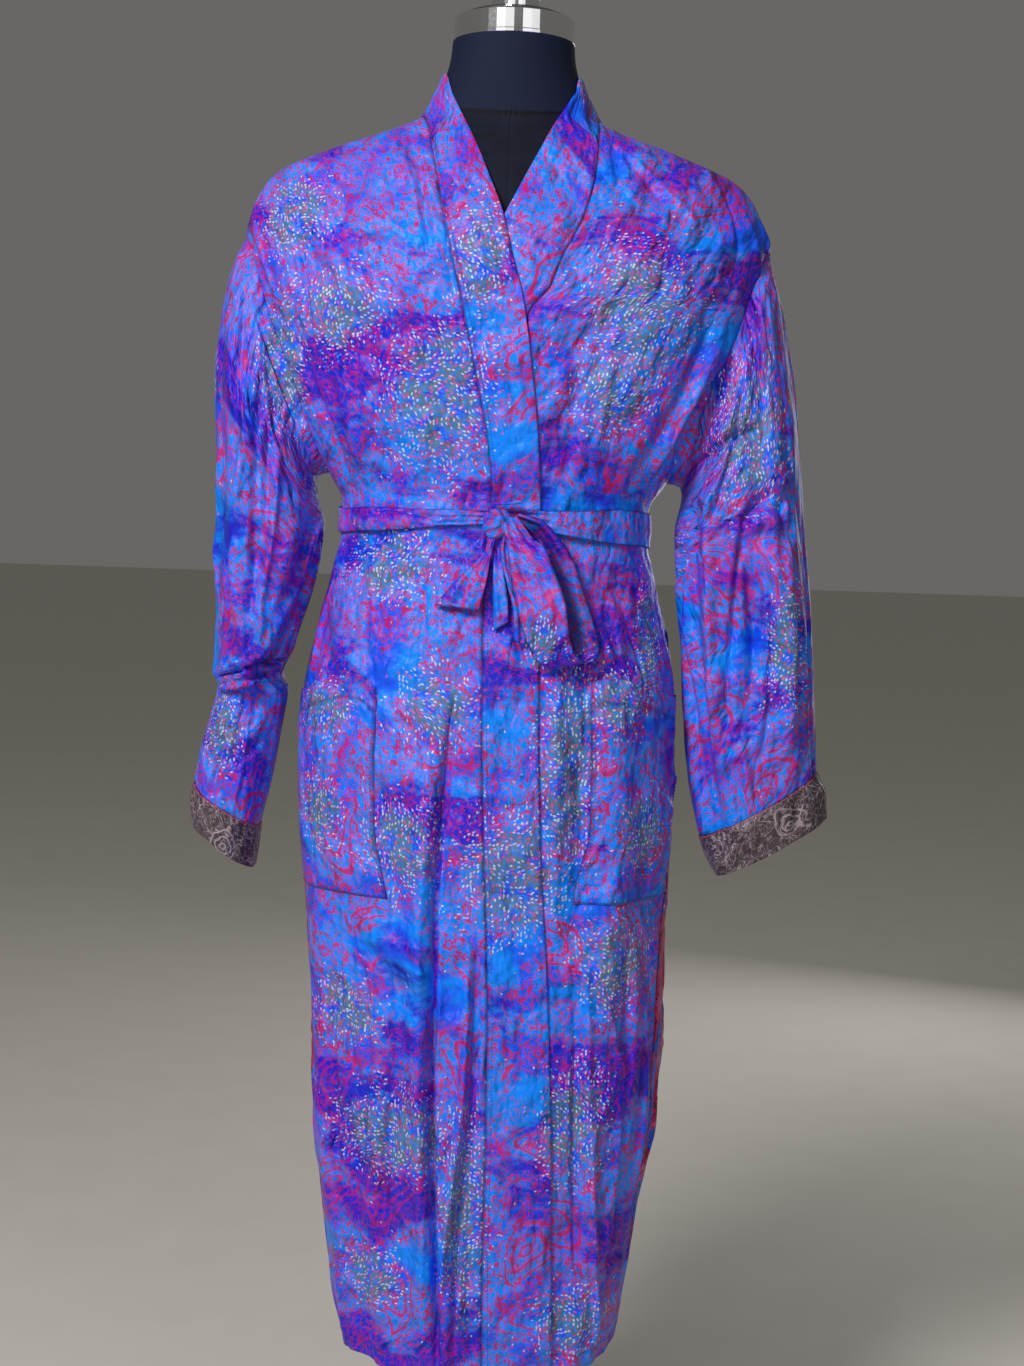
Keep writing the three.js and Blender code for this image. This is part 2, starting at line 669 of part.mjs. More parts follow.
const TAILS = {
  belt_tail_right: table(RIBBON_COLUMNS, [
    [-6, 1094, 11, 0, 1092, 13],
    [-10, 1071, 9, -5, 1060, 13],
    [-32, 1048, 7, -8, 1042, 12],
    [-58, 1017, 5, -15, 1013, 10],
  ]),
  belt_tail_middle: table(RIBBON_COLUMNS, [
    [-4, 1092, 7, 5, 1092, 9],
    [-3, 1057, 6, 9, 1051, 9],
    [-2, 1025, 5, 13, 1022, 7],
    [0, 994, 4, 14, 1003, 6],
  ]),
  belt_tail_left: table(RIBBON_COLUMNS, [
    [6, 1092, 12, 11, 1092, 9],
    [4, 1068, 13, 16, 1064, 9],
    [11, 1040, 13, 25, 1034, 8],
    [18, 1012, 12, 32, 1004, 6],
    [20, 984, 9, 30, 981, 4],
  ]),
  bow_ear: table(RIBBON_COLUMNS, [
    [-5, 1108, 8, -3, 1104, 13],
    [-6, 1119, 7, -5, 1115, 14],
    [3, 1125, 7, 3, 1121, 15],
    [13, 1127, 7, 13, 1124, 15],
    [23, 1127, 8, 22, 1125, 14],
  ]),
};
const RIBBON_COLS = 3;
const RIBBON_STEPS = 2; // rows between two rows of a table
function ribbon(rows) {
  const along = rows.map((r, i) => ({ ...r, i }));
  const [x1, z1, off1, x2, z2, off2] = RIBBON_COLUMNS.split(" ").map((c) => curve(along, "i", c));
  const last = rows.length - 1;
  const sheet = steps(0, last, last * RIBBON_STEPS).map((i) =>
    steps(0, 1, RIBBON_COLS).map((t) =>
      offFront(mix(x1(i), x2(i), t), mix(z1(i), z2(i), t), mix(off1(i), off2(i), t)),
    ),
  );
  return sheetWall(sheet, CLOTH);
}

// The knot is a rounded lump that clasps the belt from the front. Each strand starts inside it
// and is cut off just clear of it.
const KNOT = { x: 0, z: 1101, wide: 15, tall: 16, deep: 8 };
function knot(grown) {
  const geometry = new THREE.SphereGeometry(1, 16, 12);
  const centre = offFront(KNOT.x, KNOT.z, BELT_CLOTH + SEAM + KNOT.deep);
  geometry.scale(KNOT.wide + grown, KNOT.deep + grown, KNOT.tall + grown);
  geometry.translate(centre.x, centre.y, centre.z);
  return geometry;
}
const wasm = await Module();
wasm.setup();
function toSolid(geometry) {
  const bare = geometry.clone();
  bare.deleteAttribute("normal");
  bare.deleteAttribute("uv");
  const merged = mergeVertices(bare, 1e-3);
  const vertProperties = new Float32Array(merged.attributes.position.array);
  const triVerts = new Uint32Array(merged.index.array);
  return new wasm.Manifold(new wasm.Mesh({ numProp: 3, vertProperties, triVerts }));
}
function fromSolid(solid) {
  const mesh = solid.getMesh();
  const geometry = new THREE.BufferGeometry();
  geometry.setAttribute("position", new THREE.BufferAttribute(mesh.vertProperties, 3));
  geometry.setIndex(new THREE.BufferAttribute(mesh.triVerts, 1));
  geometry.computeVertexNormals();
  return geometry;
}
const knotSpace = toSolid(knot(SEAM));
const offKnot = (geometry) => fromSolid(toSolid(geometry).subtract(knotSpace));
add("belt_knot", knot(0), silk(PRINT));
add("bow_loop", offKnot(ribbon(BOW_LOOP)), silk(PRINT));
Object.entries(TAILS).forEach(([name, rows]) => add(name, offKnot(ribbon(rows)), silk(PRINT)));

// ---- Dress form --------------------------------------------------------------------------------
// The torso keeps inside the robe, and touches it only along the shoulders and round the neck.
const FORM = table("z right left front back square", [
  [FORM_BOTTOM, 170, 170, 122, 124, 2.35],
  [760, 180, 180, 128, 130, 2.35],
  [850, 184, 183, 130, 133, 2.35],
  [930, 180, 178, 126, 130, 2.3],
  [1000, 166, 164, 115, 116, 2.25],
  [1060, 154, 152, 107, 103, 2.2],
  [1105, 148, 147, 104, 96, 2.2],
  [1150, 157, 156, 108, 98, 2.2],
  [1200, 171, 171, 114, 103, 2.25],
  [1250, 182, 182, 119, 108, 2.25],
  [1300, 189, 189, 121, 111, 2.2],
  [1350, 196, 196, 117, 111, 2.15],
  [1390, 204, 204, 108, 107, 2.1],
  [1420, 212, 212, 98, 102, 2.05],
  [1440, 218, 218, 91, 98, 2],
  [1455, 216, 216, 84, 94, 2],
]);
const REST_DROP = 1; // how far the form's shoulders lie under the cloth's inner face
const REST_SIDE = 1.1;
const restRows = BODY.filter((r) => r.z > 1460 && r.z <= 1560).map((r) => ({
  z: r.z - REST_DROP,
  right: r.right - REST_SIDE,
  left: r.left - REST_SIDE,
  front: r.front - REST_SIDE,
  back: r.back - REST_SIDE,
  square: r.square,
}));
const NECK_ROWS = table("z right left front back square", [
  [1576, 64, 64, 56, 71, 2],
  [FORM_TOP, 62.5, 62.5, 55.5, 69.5, 2],
]);
const FORM_ROWS = [...FORM, ...restRows, ...NECK_ROWS];
const formSurface = sectionSurface(FORM_ROWS);
const FORM_COLS = 28;

// A closed stack of level rings with a flat top and bottom.
function stack(surface, heights, cols) {
  const points = heights.flatMap((z) =>
    steps(0, cols - 1, cols - 1).map((j) => surface((360 * j) / cols, z)),
  );
  const faces = [];
  for (let i = 0; i < heights.length - 1; i += 1)
    for (let j = 0; j < cols; j += 1) {
      const [a, b] = [i * cols + j, i * cols + ((j + 1) % cols)];
      faces.push(a, b, b + cols, a, b + cols, a + cols);
    }
  const top = (heights.length - 1) * cols;
  for (let j = 1; j < cols - 1; j += 1) {
    faces.push(0, j + 1, j);
    faces.push(top, top + j, top + j + 1);
  }
  return facingOut(points, faces);
}
const formHeights = [
  ...FORM.map((r) => r.z),
  ...restRows.map((r) => r.z),
  ...NECK_ROWS.map((r) => r.z),
];
add(
  "form_torso",
  stack(formSurface, formHeights, FORM_COLS),
  new THREE.MeshStandardMaterial({ color: 0x15161b, roughness: 0.85, metalness: 0 }),
);

// ---- Turned metal parts ------------------------------------------------------------------------
const chrome = () =>
  new THREE.MeshStandardMaterial({ color: 0xcfd1d4, roughness: 0.18, metalness: 1 });
const blackSteel = () =>
  new THREE.MeshStandardMaterial({ color: 0x1b1c1f, roughness: 0.5, metalness: 0.6 });
// A turned solid about a vertical axis. The profile's points are [radius, height].
function turned(profile, segments, centreY = 0) {
  const geometry = new THREE.LatheGeometry(
    profile.map(([r, z]) => new THREE.Vector2(r, z)),
    segments,
  );
  geometry.rotateX(Math.PI / 2);
  geometry.translate(0, centreY, 0);
  return geometry;
}
const NECK_Y = 7; // the neck's axis lies a little behind the centre line
const TURNED_COLS = 44; // round the neck's metal
const CAP_RADIUS = 63;
const CAP_HEIGHT = 25;
const capBottom = FORM_TOP + SEAM;
const capTop = capBottom + CAP_HEIGHT;
add(
  "neck_cap",
  turned(
    [
      [0, capBottom],
      [CAP_RADIUS - 1, capBottom],
      [CAP_RADIUS, capBottom + 1],
      [CAP_RADIUS, capBottom + 4],
      [CAP_RADIUS - 1, capBottom + 5],
      [CAP_RADIUS - 1, capTop - 1],
      [CAP_RADIUS - 2, capTop],
      [0, capTop],
    ],
    TURNED_COLS,
    NECK_Y,
  ),
  chrome(),
);
const discBottom = capTop + SEAM;
const DISC_HEIGHT = 7;
const discTop = discBottom + DISC_HEIGHT;
add(
  "neck_disc",
  turned(
    [
      [0, discBottom],
      [CAP_RADIUS - 6, discBottom],
      [CAP_RADIUS - 6, discBottom + 1.5],
      [CAP_RADIUS - 16, discTop - 1.5],
      [CAP_RADIUS - 26, discTop],
      [0, discTop],
    ],
    TURNED_COLS,
    NECK_Y,
  ),
  blackSteel(),
);
const knobBottom = discTop + SEAM;
add(
  "neck_knob",
  turned(
    [
      [0, knobBottom],
      [25, knobBottom],
      [25, knobBottom + 14],
      [28, knobBottom + 19],
      [28, knobBottom + 27],
      [23, knobBottom + 34],
      [12, knobBottom + 38],
      [0, knobBottom + 39],
    ],
    TURNED_COLS,
    NECK_Y,
  ),
  chrome(),
);
const POLE_LENGTH = FORM_BOTTOM - BASE_HEIGHT - 2 * SEAM;
const collarBottom = BASE_HEIGHT + SEAM;
const COLLAR_HEIGHT = 46;
add(
  "pole",
  turned(
    [
      [0, collarBottom],
      [POLE_RADIUS, collarBottom],
      [POLE_RADIUS, collarBottom + POLE_LENGTH],
      [0, collarBottom + POLE_LENGTH],
    ],
    24,
  ),
  chrome(),
);
add(
  "base_collar",
  turned(
    [
      [POLE_RADIUS + 1, collarBottom],
      [POLE_RADIUS + 20, collarBottom],
      [POLE_RADIUS + 16, collarBottom + 8],
      [POLE_RADIUS + 7, collarBottom + 14],
      [POLE_RADIUS + 6, collarBottom + COLLAR_HEIGHT],
      [POLE_RADIUS + 1, collarBottom + COLLAR_HEIGHT],
      [POLE_RADIUS + 1, collarBottom],
    ],
    24,
  ),
  chrome(),
);
add(
  "base",
  turned(
    [
      [0, 0],
      [BASE_RADIUS - 2, 0],
      [BASE_RADIUS, 2],
      [BASE_RADIUS, BASE_HEIGHT - 5],
      [BASE_RADIUS - 5, BASE_HEIGHT - 2],
      [60, BASE_HEIGHT],
      [0, BASE_HEIGHT],
    ],
    48,
  ),
  blackSteel(),
);

export default robe;
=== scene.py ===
"""A kimono robe of printed silk, worn by a dress form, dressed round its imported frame.

The shape code works in millimetres in the frame's own axes, and as_mesh() turns them into metres.
"Right" and "left" are the wearer's: right is -X, and the robe's front faces -Y. A place on the
body is an angle round it, 0 at the centre of the front and positive towards +X, and a height.
"""

import math

import bmesh
import bpy
import numpy as np
from mathutils import Matrix, Vector


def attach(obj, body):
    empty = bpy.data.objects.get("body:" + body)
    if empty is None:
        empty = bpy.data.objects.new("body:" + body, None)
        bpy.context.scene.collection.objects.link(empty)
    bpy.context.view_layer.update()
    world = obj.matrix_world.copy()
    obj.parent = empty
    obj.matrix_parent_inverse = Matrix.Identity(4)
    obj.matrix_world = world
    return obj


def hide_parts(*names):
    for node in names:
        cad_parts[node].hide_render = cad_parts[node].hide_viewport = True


bl_info = {
    "name": "Kimono Robe",
    "version": (1, 0, 0),
    "blender": (4, 5, 0),
    "location": "3D View > Sidebar > Robe",
    "description": "Dresses a form in a wrap robe of printed silk",
    "category": "Object",
}

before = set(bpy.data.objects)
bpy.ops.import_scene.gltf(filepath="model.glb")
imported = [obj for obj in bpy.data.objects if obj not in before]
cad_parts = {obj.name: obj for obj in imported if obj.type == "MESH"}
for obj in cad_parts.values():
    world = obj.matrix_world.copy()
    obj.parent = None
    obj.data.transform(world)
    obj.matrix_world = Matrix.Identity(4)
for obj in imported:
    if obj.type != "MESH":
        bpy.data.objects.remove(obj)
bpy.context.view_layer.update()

# ---- The robe's driving sizes, as its frame has them ----------------------------------------
CLOTH = 1.5  # one layer of silk
BAND_CLOTH = 2.4  # the folded neck band
SEAM = 0.3  # the frame's gap between neighbouring pieces
SEWN_GAP = 0.06  # sewn pieces all but meet where the frame's stand apart
BELT_CLOTH = 2.0  # two layers pressed flat
LAP = 3.4  # how far the right front stands off the left one
HEM_Z = 245
NECK_Z = 1512  # seam of the band round the back of the neck
COLLAR_Z = 1560  # free edge of the band at the back of the neck
ARM_LOW = 1150
ARM_HIGH = 1385
ARM_DEEP = 58  # half of the armhole's opening, front to back
ARM_SEAT = 0.15  # how far a sleeve starts inside its armhole
BELT_LOW = 1084
BELT_TOP = 1120
WAIST_Z = (BELT_LOW + BELT_TOP) / 2
FORM_TOP = 1592
FORM_BOTTOM = 690
ARM_MIDDLE = (ARM_HIGH + ARM_LOW) / 2
ARM_HALF = (ARM_HIGH - ARM_LOW) / 2
RAD = math.pi / 180


# ---- Tables and curves -----------------------------------------------------------------------
def table(columns, rows):
    """Rows of numbers as named columns."""
    return {name: np.array([row[i] for row in rows], float) for i, name in enumerate(columns.split())}


def curve(rows, x_name, y_name):
    """A smooth curve through two columns that never overshoots them."""
    xs, ys = rows[x_name], rows[y_name]
    slope = np.diff(ys) / np.diff(xs)
    before, after = slope[:-1], slope[1:]
    both = before + after
    middle = np.where(before * after <= 0, 0, 2 * before * after / np.where(both == 0, 1, both))
    tangent = np.concatenate([[slope[0]], middle, [slope[-1]]])

    def value(x):
        x = np.clip(np.asarray(x, float), xs[0], xs[-1])
        i = np.clip(np.searchsorted(xs, x) - 1, 0, len(xs) - 2)
        h = xs[i + 1] - xs[i]
        t = (x - xs[i]) / h
        start = (1 + 2 * t) * (1 - t) ** 2 * ys[i] + t * (1 - t) ** 2 * h * tangent[i]
        return start + t * t * (3 - 2 * t) * ys[i + 1] + t * t * (t - 1) * h * tangent[i + 1]

    return value


def smooth(low, high, x):
    """0 at low, 1 at high, and a smooth step between them."""
    t = np.clip((np.asarray(x, float) - low) / (high - low), 0, 1)
    return t * t * (3 - 2 * t)


def mix(a, b, t):
    return a + (b - a) * t


def unit(v):
    return v / np.maximum(np.linalg.norm(v, axis=-1, keepdims=True), 1e-9)


# ---- The body surface ------------------------------------------------------------------------
SECTION_COLUMNS = "z right left front back square"
BODY_ROWS = [
    [240, 140, 150, 136, 140, 2.2],
    [300, 151, 160, 139, 142, 2.2],
    [400, 165, 173, 142, 144, 2.25],
    [500, 176, 186, 143, 144, 2.3],
    [600, 180, 190, 142, 143, 2.35],
    [700, 188, 189, 141, 142, 2.35],
    [780, 196, 190, 140, 142, 2.35],
    [860, 199, 189, 138, 141, 2.35],
    [930, 195, 187, 133, 137, 2.3],
    [1000, 181, 174, 124, 124, 2.25],
    [1055, 169, 162, 116, 111, 2.2],
    [BELT_LOW, 162, 155, 110, 102, 2.2],
    [BELT_TOP, 162, 155, 110, 102, 2.2],
    [1145, 174, 170, 116, 105, 2.25],
    [1180, 196, 194, 122, 109, 2.3],
    [1240, 227, 226, 128, 113, 2.3],
    [1300, 252, 250, 130, 116, 2.3],
    [1350, 264, 262, 126, 116, 2.2],
    [1390, 268, 266, 116, 112, 2.1],
    [1410, 264, 263, 109, 108, 2.05],
    [1430, 256, 255, 100, 104, 2],
    [1445, 246, 245, 93, 100, 2],
    [1457, 232, 231, 86, 96, 2],
    [1466, 213, 213, 81, 93, 2],
    [1475, 190, 190, 76, 91, 2],
    [1485, 164, 164, 71, 89, 2],
    [1495, 134, 134, 66, 87, 2],
    [1503, 112, 112, 62, 85, 2],
    [1512, 93, 93, 60, 84, 2],
    [1522, 86, 86, 59, 81, 2],
    [1535, 79, 79, 58, 78, 2],
    [1548, 73, 73, 57.5, 75.5, 2],
    [1560, 69, 69, 57, 74, 2],
    [1575, 67, 67, 57, 72, 2],
]


def section_curves(rows):
    columns = table(SECTION_COLUMNS, rows)
    return {name: curve(columns, "z", name) for name in SECTION_COLUMNS.split()[1:]}


BODY = section_curves(BODY_ROWS)


def section_point(curves, angle, z):
    angle, z = np.broadcast_arrays(np.asarray(angle, float), np.asarray(z, float))
    s, c = np.sin(angle * RAD), np.cos(angle * RAD)
    n = curves["square"](z)
    reach = (np.abs(s) ** n + np.abs(c) ** n) ** (-1 / n)
    wide = np.where(s < 0, curves["right"](z), curves["left"](z))
    deep = np.where(c > 0, curves["front"](z), curves["back"](z))
    return np.stack([wide * s * reach, -deep * c * reach, z], axis=-1)


def body_base(angle, z):
    return section_point(BODY, angle, z)


def outward(angle, z):
    along = body_base(angle + 0.2, z) - body_base(angle - 0.2, z)
    up = body_base(angle, z + 0.5) - body_base(angle, z - 0.5)
    return unit(np.cross(along, up))


def angle_at_x(x, z):
    """The angle at which the body surface is a distance x to the side, on its front."""
    n = BODY["square"](z)
    wide = np.where(np.asarray(x) < 0, BODY["right"](z), BODY["left"](z))
    q = np.minimum(0.9999, np.abs(x) / wide) ** n
    return np.sign(x) * np.arctan((q / (1 - q)) ** (1 / n)) / RAD


def opening_angle(y, z, face):
    n = BODY["square"](z)
    q = np.clip(y / BODY[face](z), 1e-6, 0.9999) ** n
    return 90 - np.arctan(1 / (q / (1 - q)) ** (1 / n)) / RAD


def degrees_for(distance, angle, z):
    span = np.linalg.norm(body_base(angle + 0.5, z) - body_base(angle - 0.5, z), axis=-1)
    return distance / span


def girth_step(z):
    """Millimetres for each degree round the body, taken evenly."""
    around = BODY["right"](z) + BODY["left"](z) + BODY["front"](z) + BODY["back"](z)
    return around / 4 * RAD


# ---- Folds and creases -----------------------------------------------------------------------
# Each main fold: angle and height at its top and foot, the width of each flank, and its height.
FOLDS = [
    [-20, 930, -14, 225, 8, 5, 12],
    [-8, 640, -6, 225, 4, 4, 7],
    [-36, 740, -34, 225, 7, 8, 9],
    [-60, 760, -58, 225, 9, 8, 8],
    [-20, 1190, -30, 1060, 4, 4, 3],
    [-30, 1440, -48, 1160, 7, 7, 5],
    [-52, 1060, -47, 940, 6, 6, 4],
    [38, 980, 39, 225, 5, 8, 9],
    [49, 720, 48, 225, 3, 6, 7],
    [62, 700, 60, 225, 6, 6, 5],
    [34, 1060, 40, 900, 5, 5, 4],
    [30, 1430, 44, 1150, 7, 8, 5],
    [60, 1330, 50, 1130, 5, 6, 5],
    [112, 880, 106, 225, 6, 8, 8],
    [138, 1060, 132, 225, 7, 6, 12],
    [160, 1000, 158, 225, 6, 7, 9],
    [184, 1065, 182, 225, 7, 7, 13],
    [207, 980, 208, 225, 6, 6, 9],
    [230, 1055, 232, 225, 8, 6, 12],
    [254, 860, 256, 225, 7, 6, 7],
    [150, 1420, 146, 1150, 9, 9, 6],
    [212, 1420, 214, 1150, 9, 9, 6],
]
FOLD_START = 110


def cinch(z):
    """0 where the belt presses the cloth, 1 away from it."""
    return smooth(22, 90, np.abs(z - WAIST_Z))


def fold_height(angle, z):
    """The main folds, which wander a little and swell and thin on their way down."""
    total = np.zeros(np.broadcast(angle, z).shape)
    for k, (angle1, z1, angle2, z2, before, after, height) in enumerate(FOLDS):
        wander = 0.9 * np.sin(z / 119 + 1.7 * k)
        middle = mix(angle1, angle2, (z1 - z) / (z1 - z2)) + wander
        off = (angle - middle + 900) % 360 - 180
        wide = np.where(off < 0, before, after)
        started = smooth(z1 + 20, z1 - FOLD_START, z)
        ended = 1 if z2 <= HEM_Z else smooth(z2 - 20, z2 + FOLD_START, z)
        swell = 1 + 0.14 * np.sin(z / 67 + 2.3 * k)
        total += height * swell * np.exp(-((off / wide) ** 2)) * started * ended
    return total * cinch(z)


CREASE_GAIN = 1.7

# Creases on the front: points (distance from the centre line, height), then the width of each
# flank, the height (a trough is negative) and how long each end takes to fade.
FRONT_CREASES = [
    ([(-34, 940), (-44, 800), (-48, 723), (-45, 520), (-30, 244)], 2.6, 2.6, -7.5, 60),
    ([(-43, 925), (-55, 800), (-60, 700), (-55, 520), (-41, 244)], 8, 5, 4, 90),
    ([(-5, 690), (-4, 600), (-6, 500), (-16, 400), (-17, 300), (-14, 244)], 3, 3, -5, 60),
    ([(-14, 700), (-13, 600), (-16, 500), (-27, 400), (-30, 300)], 5, 3.5, 4.5, 60),
    ([(-84, 700), (-80, 560), (-88, 420), (-80, 244)], 6, 9, -4, 120),
    ([(-141, 718), (-133, 560), (-122, 420), (-106, 250)], 3, 3, 2.4, 50),
    ([(-116, 690), (-106, 560), (-112, 430)], 5, 4, -2.6, 70),
    ([(-160, 700), (-150, 600), (-142, 470), (-131, 340)], 4, 6, -3, 80),
    ([(-165, 640), (-120, 622), (-84, 630)], 6, 5, -2.2, 40),
    ([(-150, 470), (-110, 452), (-70, 462)], 7, 5, -2, 40),
    ([(-128, 300), (-92, 286), (-50, 296)], 7, 5, -2, 40),
    ([(61, 1010), (64, 900), (66, 780), (70, 660)], 6, 9, 3.4, 60),
    ([(90, 900), (93, 820), (96, 700)], 8, 4, -2.4, 60),
    ([(98, 690), (106, 560), (112, 420), (120, 249)], 3, 5, 3.5, 60),
    ([(92, 640), (98, 480), (104, 300)], 4, 4, -3.5, 70),
    ([(140, 690), (146, 560), (140, 400), (126, 270)], 5, 5, -3, 90),
    ([(160, 650), (166, 540), (158, 420)], 4, 5, 2.2, 60),
    ([(100, 585), (132, 574), (170, 588)], 5, 6, -2, 30),
    ([(108, 370), (134, 352), (160, 362)], 5, 6, -2.2, 30),
    ([(103, 1068), (126, 1049), (146, 1028), (168, 981)], 5, 7, -2.6, 40),
    ([(96, 1060), (112, 1034), (124, 1000), (128, 965)], 4, 5, 2, 40),
    ([(-150, 1074), (-158, 1040), (-172, 995)], 5, 5, -2.5, 35),
    ([(-118, 1076), (-122, 1040), (-116, 960)], 5, 4, 2.2, 45),
    ([(-60, 1078), (-66, 1020), (-72, 950)], 4, 4, -2, 45),
    ([(-96, 1072), (-110, 1040), (-140, 1012)], 4, 5, 1.8, 30),
    ([(-207, 1402), (-202, 1360), (-197, 1320), (-189, 1270)], 3.5, 3.5, -2.4, 45),
    ([(-214, 1330), (-198, 1255), (-170, 1190), (-146, 1135)], 7, 6, -3.4, 50),
    ([(-172, 1290), (-150, 1200), (-136, 1136)], 5, 6, 2.6, 50),
    ([(-120, 1250), (-108, 1190), (-98, 1132)], 5, 5, -2.2, 45),
    ([(-70, 1220), (-74, 1170), (-72, 1130)], 4, 4, 1.8, 30),
    ([(-97, 1484), (-88, 1450), (-80, 1400), (-70, 1350)], 3, 3, -2.2, 30),
    ([(-106, 1478), (-98, 1440), (-90, 1404)], 3, 3, 1.7, 25),
    ([(-180, 1448), (-140, 1425), (-104, 1404)], 5, 6, -1.8, 35),
    ([(103, 1484), (138, 1453), (179, 1414), (196, 1392)], 2.5, 3, 2, 30),
    ([(112, 1470), (140, 1440), (166, 1405)], 3, 4, -1.6, 30),
    ([(97, 1496), (104, 1470), (108, 1430)], 3, 3, -2, 20),
    ([(104, 1490), (113, 1466), (120, 1440)], 2.5, 2.5, 1.5, 20),
    ([(237, 1288), (203, 1240), (180, 1206), (160, 1160)], 4, 5, -5, 30),
    ([(243, 1280), (214, 1230), (190, 1192), (170, 1150)], 4, 4, 4.5, 30),
    ([(236, 1265), (222, 1227), (201, 1192), (186, 1165)], 4, 4, -5, 20),
    ([(206, 1232), (191, 1201), (170, 1161)], 3, 4, -3, 20),
    ([(224, 1310), (190, 1240), (158, 1170), (144, 1134)], 5, 5, 3.2, 45),
    ([(212, 1325), (180, 1240), (140, 1165), (124, 1126)], 6, 7, -2.6, 60),
    ([(112, 1300), (100, 1220), (92, 1130)], 6, 5, 2.2, 60),
    ([(74, 1250), (70, 1190), (66, 1130)], 5, 5, -2.4, 40),
    ([(148, 1380), (156, 1320), (150, 1262)], 5, 5, -1.6, 50),
]
# Creases on the sides and the back: the same, with an angle in place of the distance.
BACK_CREASES = [
    ([(-84, 1070), (-88, 1000), (-86, 900), (-82, 800)], 7, 6, -3.2, 70),
    ([(-98, 1060), (-104, 950), (-102, 820)], 6, 5, 3, 70),
    ([(-112, 700), (-114, 520), (-110, 250)], 7, 5, -4, 90),
    ([(84, 1068), (88, 980), (84, 880)], 6, 6, -3, 60),
    ([(98, 1060), (102, 930), (100, 790), (98, 640)], 6, 7, 3, 80),
    ([(92, 700), (90, 520), (94, 250)], 5, 5, -3.5, 90),
    ([(124, 1010), (120, 800), (118, 520), (120, 250)], 5, 7, -5, 90),
    ([(147, 1050), (148, 900), (146, 700), (147, 250)], 5, 4, -4, 80),
    ([(172, 1060), (170, 940), (172, 700), (170, 250)], 6, 5, -5, 90),
    ([(194, 1050), (196, 860), (194, 600), (196, 250)], 5, 6, -4, 90),
    ([(219, 1046), (220, 900), (217, 640), (220, 250)], 5, 5, -5, 90),
    ([(243, 1000), (244, 760), (246, 480), (243, 250)], 6, 5, -4, 90),
    ([(152, 1440), (160, 1350), (164, 1240), (160, 1135)], 7, 8, -3.5, 60),
    ([(206, 1440), (200, 1340), (197, 1235), (202, 1135)], 8, 7, -3.5, 60),
    ([(128, 1300), (136, 1220), (148, 1135)], 6, 7, 3, 50),
    ([(232, 1290), (226, 1210), (214, 1135)], 7, 6, 3, 50),
    ([(112, 1240), (122, 1190), (132, 1130)], 5, 6, -3, 40),
    ([(249, 1236), (240, 1180), (229, 1130)], 5, 6, -3, 40),
    ([(178, 1400), (180, 1300), (182, 1160)], 6, 6, 2.2, 80),
    ([(118, 1074), (126, 1030), (136, 980)], 5, 5, 2.4, 35),
    ([(160, 1076), (162, 1030), (158, 970)], 4, 5, -2.4, 35),
    ([(204, 1076), (206, 1020), (210, 950)], 5, 4, 2.4, 35),
    ([(240, 1074), (236, 1036), (226, 1000)], 5, 5, -2.4, 35),
    ([(130, 640), (150, 622), (172, 634)], 8, 6, -1.8, 30),
    ([(186, 470), (206, 452), (232, 462)], 8, 6, -1.8, 30),
]


def polyline_height(px, pz, line):
    """A crease along a polyline: px and pz are places in millimetres on the flattened cloth."""
    points, before, after, height, fade = line
    best = np.full(px.shape, 1e9)
    side = np.zeros(px.shape)
    along = np.zeros(px.shape)
    walked = 0.0
    for (ax, az), (bx, bz) in zip(points, points[1:]):
        dx, dz = bx - ax, bz - az
        long = math.hypot(dx, dz)
        t = np.clip(((px - ax) * dx + (pz - az) * dz) / long**2, 0, 1)
        ex, ez = px - ax - t * dx, pz - az - t * dz
        away = np.hypot(ex, ez)
        nearer = away < best
        best = np.where(nearer, away, best)
        side = np.where(nearer, dx * ez - dz * ex, side)
        along = np.where(nearer, walked + t * long, along)
        walked += long
    wide = np.where(side < 0, before, after)
    ends = smooth(0, fade, along) * smooth(0, fade, walked - along)
    return height * np.exp(-((best / wide) ** 2)) * ends


def flattened(points, is_front):
    found = []
    for a, z in points:
        angle = float(angle_at_x(a, z)) if is_front else a
        found.append((angle * float(girth_step(z)), z))
    return found


BODY_CREASES = [(flattened(c[0], True), *c[1:]) for c in FRONT_CREASES]
SIDE_CREASES = [(flattened(c[0], False), *c[1:]) for c in BACK_CREASES]


def crease_height(angle, z):
    """The small creases, on whichever layer of the body they fall."""
    angle, z = np.broadcast_arrays(np.asarray(angle, float), np.asarray(z, float))
    step = girth_step(z)
    front = (angle + 180) % 360 - 180
    total = np.zeros(angle.shape)
    for line in BODY_CREASES:
        total += polyline_height(front * step, z, line)
    for line in SIDE_CREASES:
        place = front if line[0][0][0] < 0 else angle % 360
        total += polyline_height(place * step, z, line)
    return CREASE_GAIN * total * smooth(14, 34, np.abs(z - WAIST_Z)) * smooth(1506, 1478, z)


def strewn_creases(places, wrap=None):
    """Short creases strewn over a piece: each has a place, lean, length, flanks and height."""

    def height(s, z):
        s, z = np.broadcast_arrays(np.asarray(s, float), np.asarray(z, float))
        total = np.zeros(s.shape)
        for at_s, at_z, lean, half, before, after, tall in places:
            ds = s - at_s
            if wrap:
                ds = (ds + wrap / 2) % wrap - wrap / 2
            dz = z - at_z
            across = ds * math.cos(lean) + dz * math.sin(lean)
            along = dz * math.cos(lean) - ds * math.sin(lean) + 0.0009 * across * half
            near = np.abs(along) < 1.6 * half
            wide = np.where(across < 0, before, after)
            bump = np.exp(-((across / wide) ** 2) - (along / half) ** 4)
            total += np.where(near, tall * bump, 0)
        return total

    return height


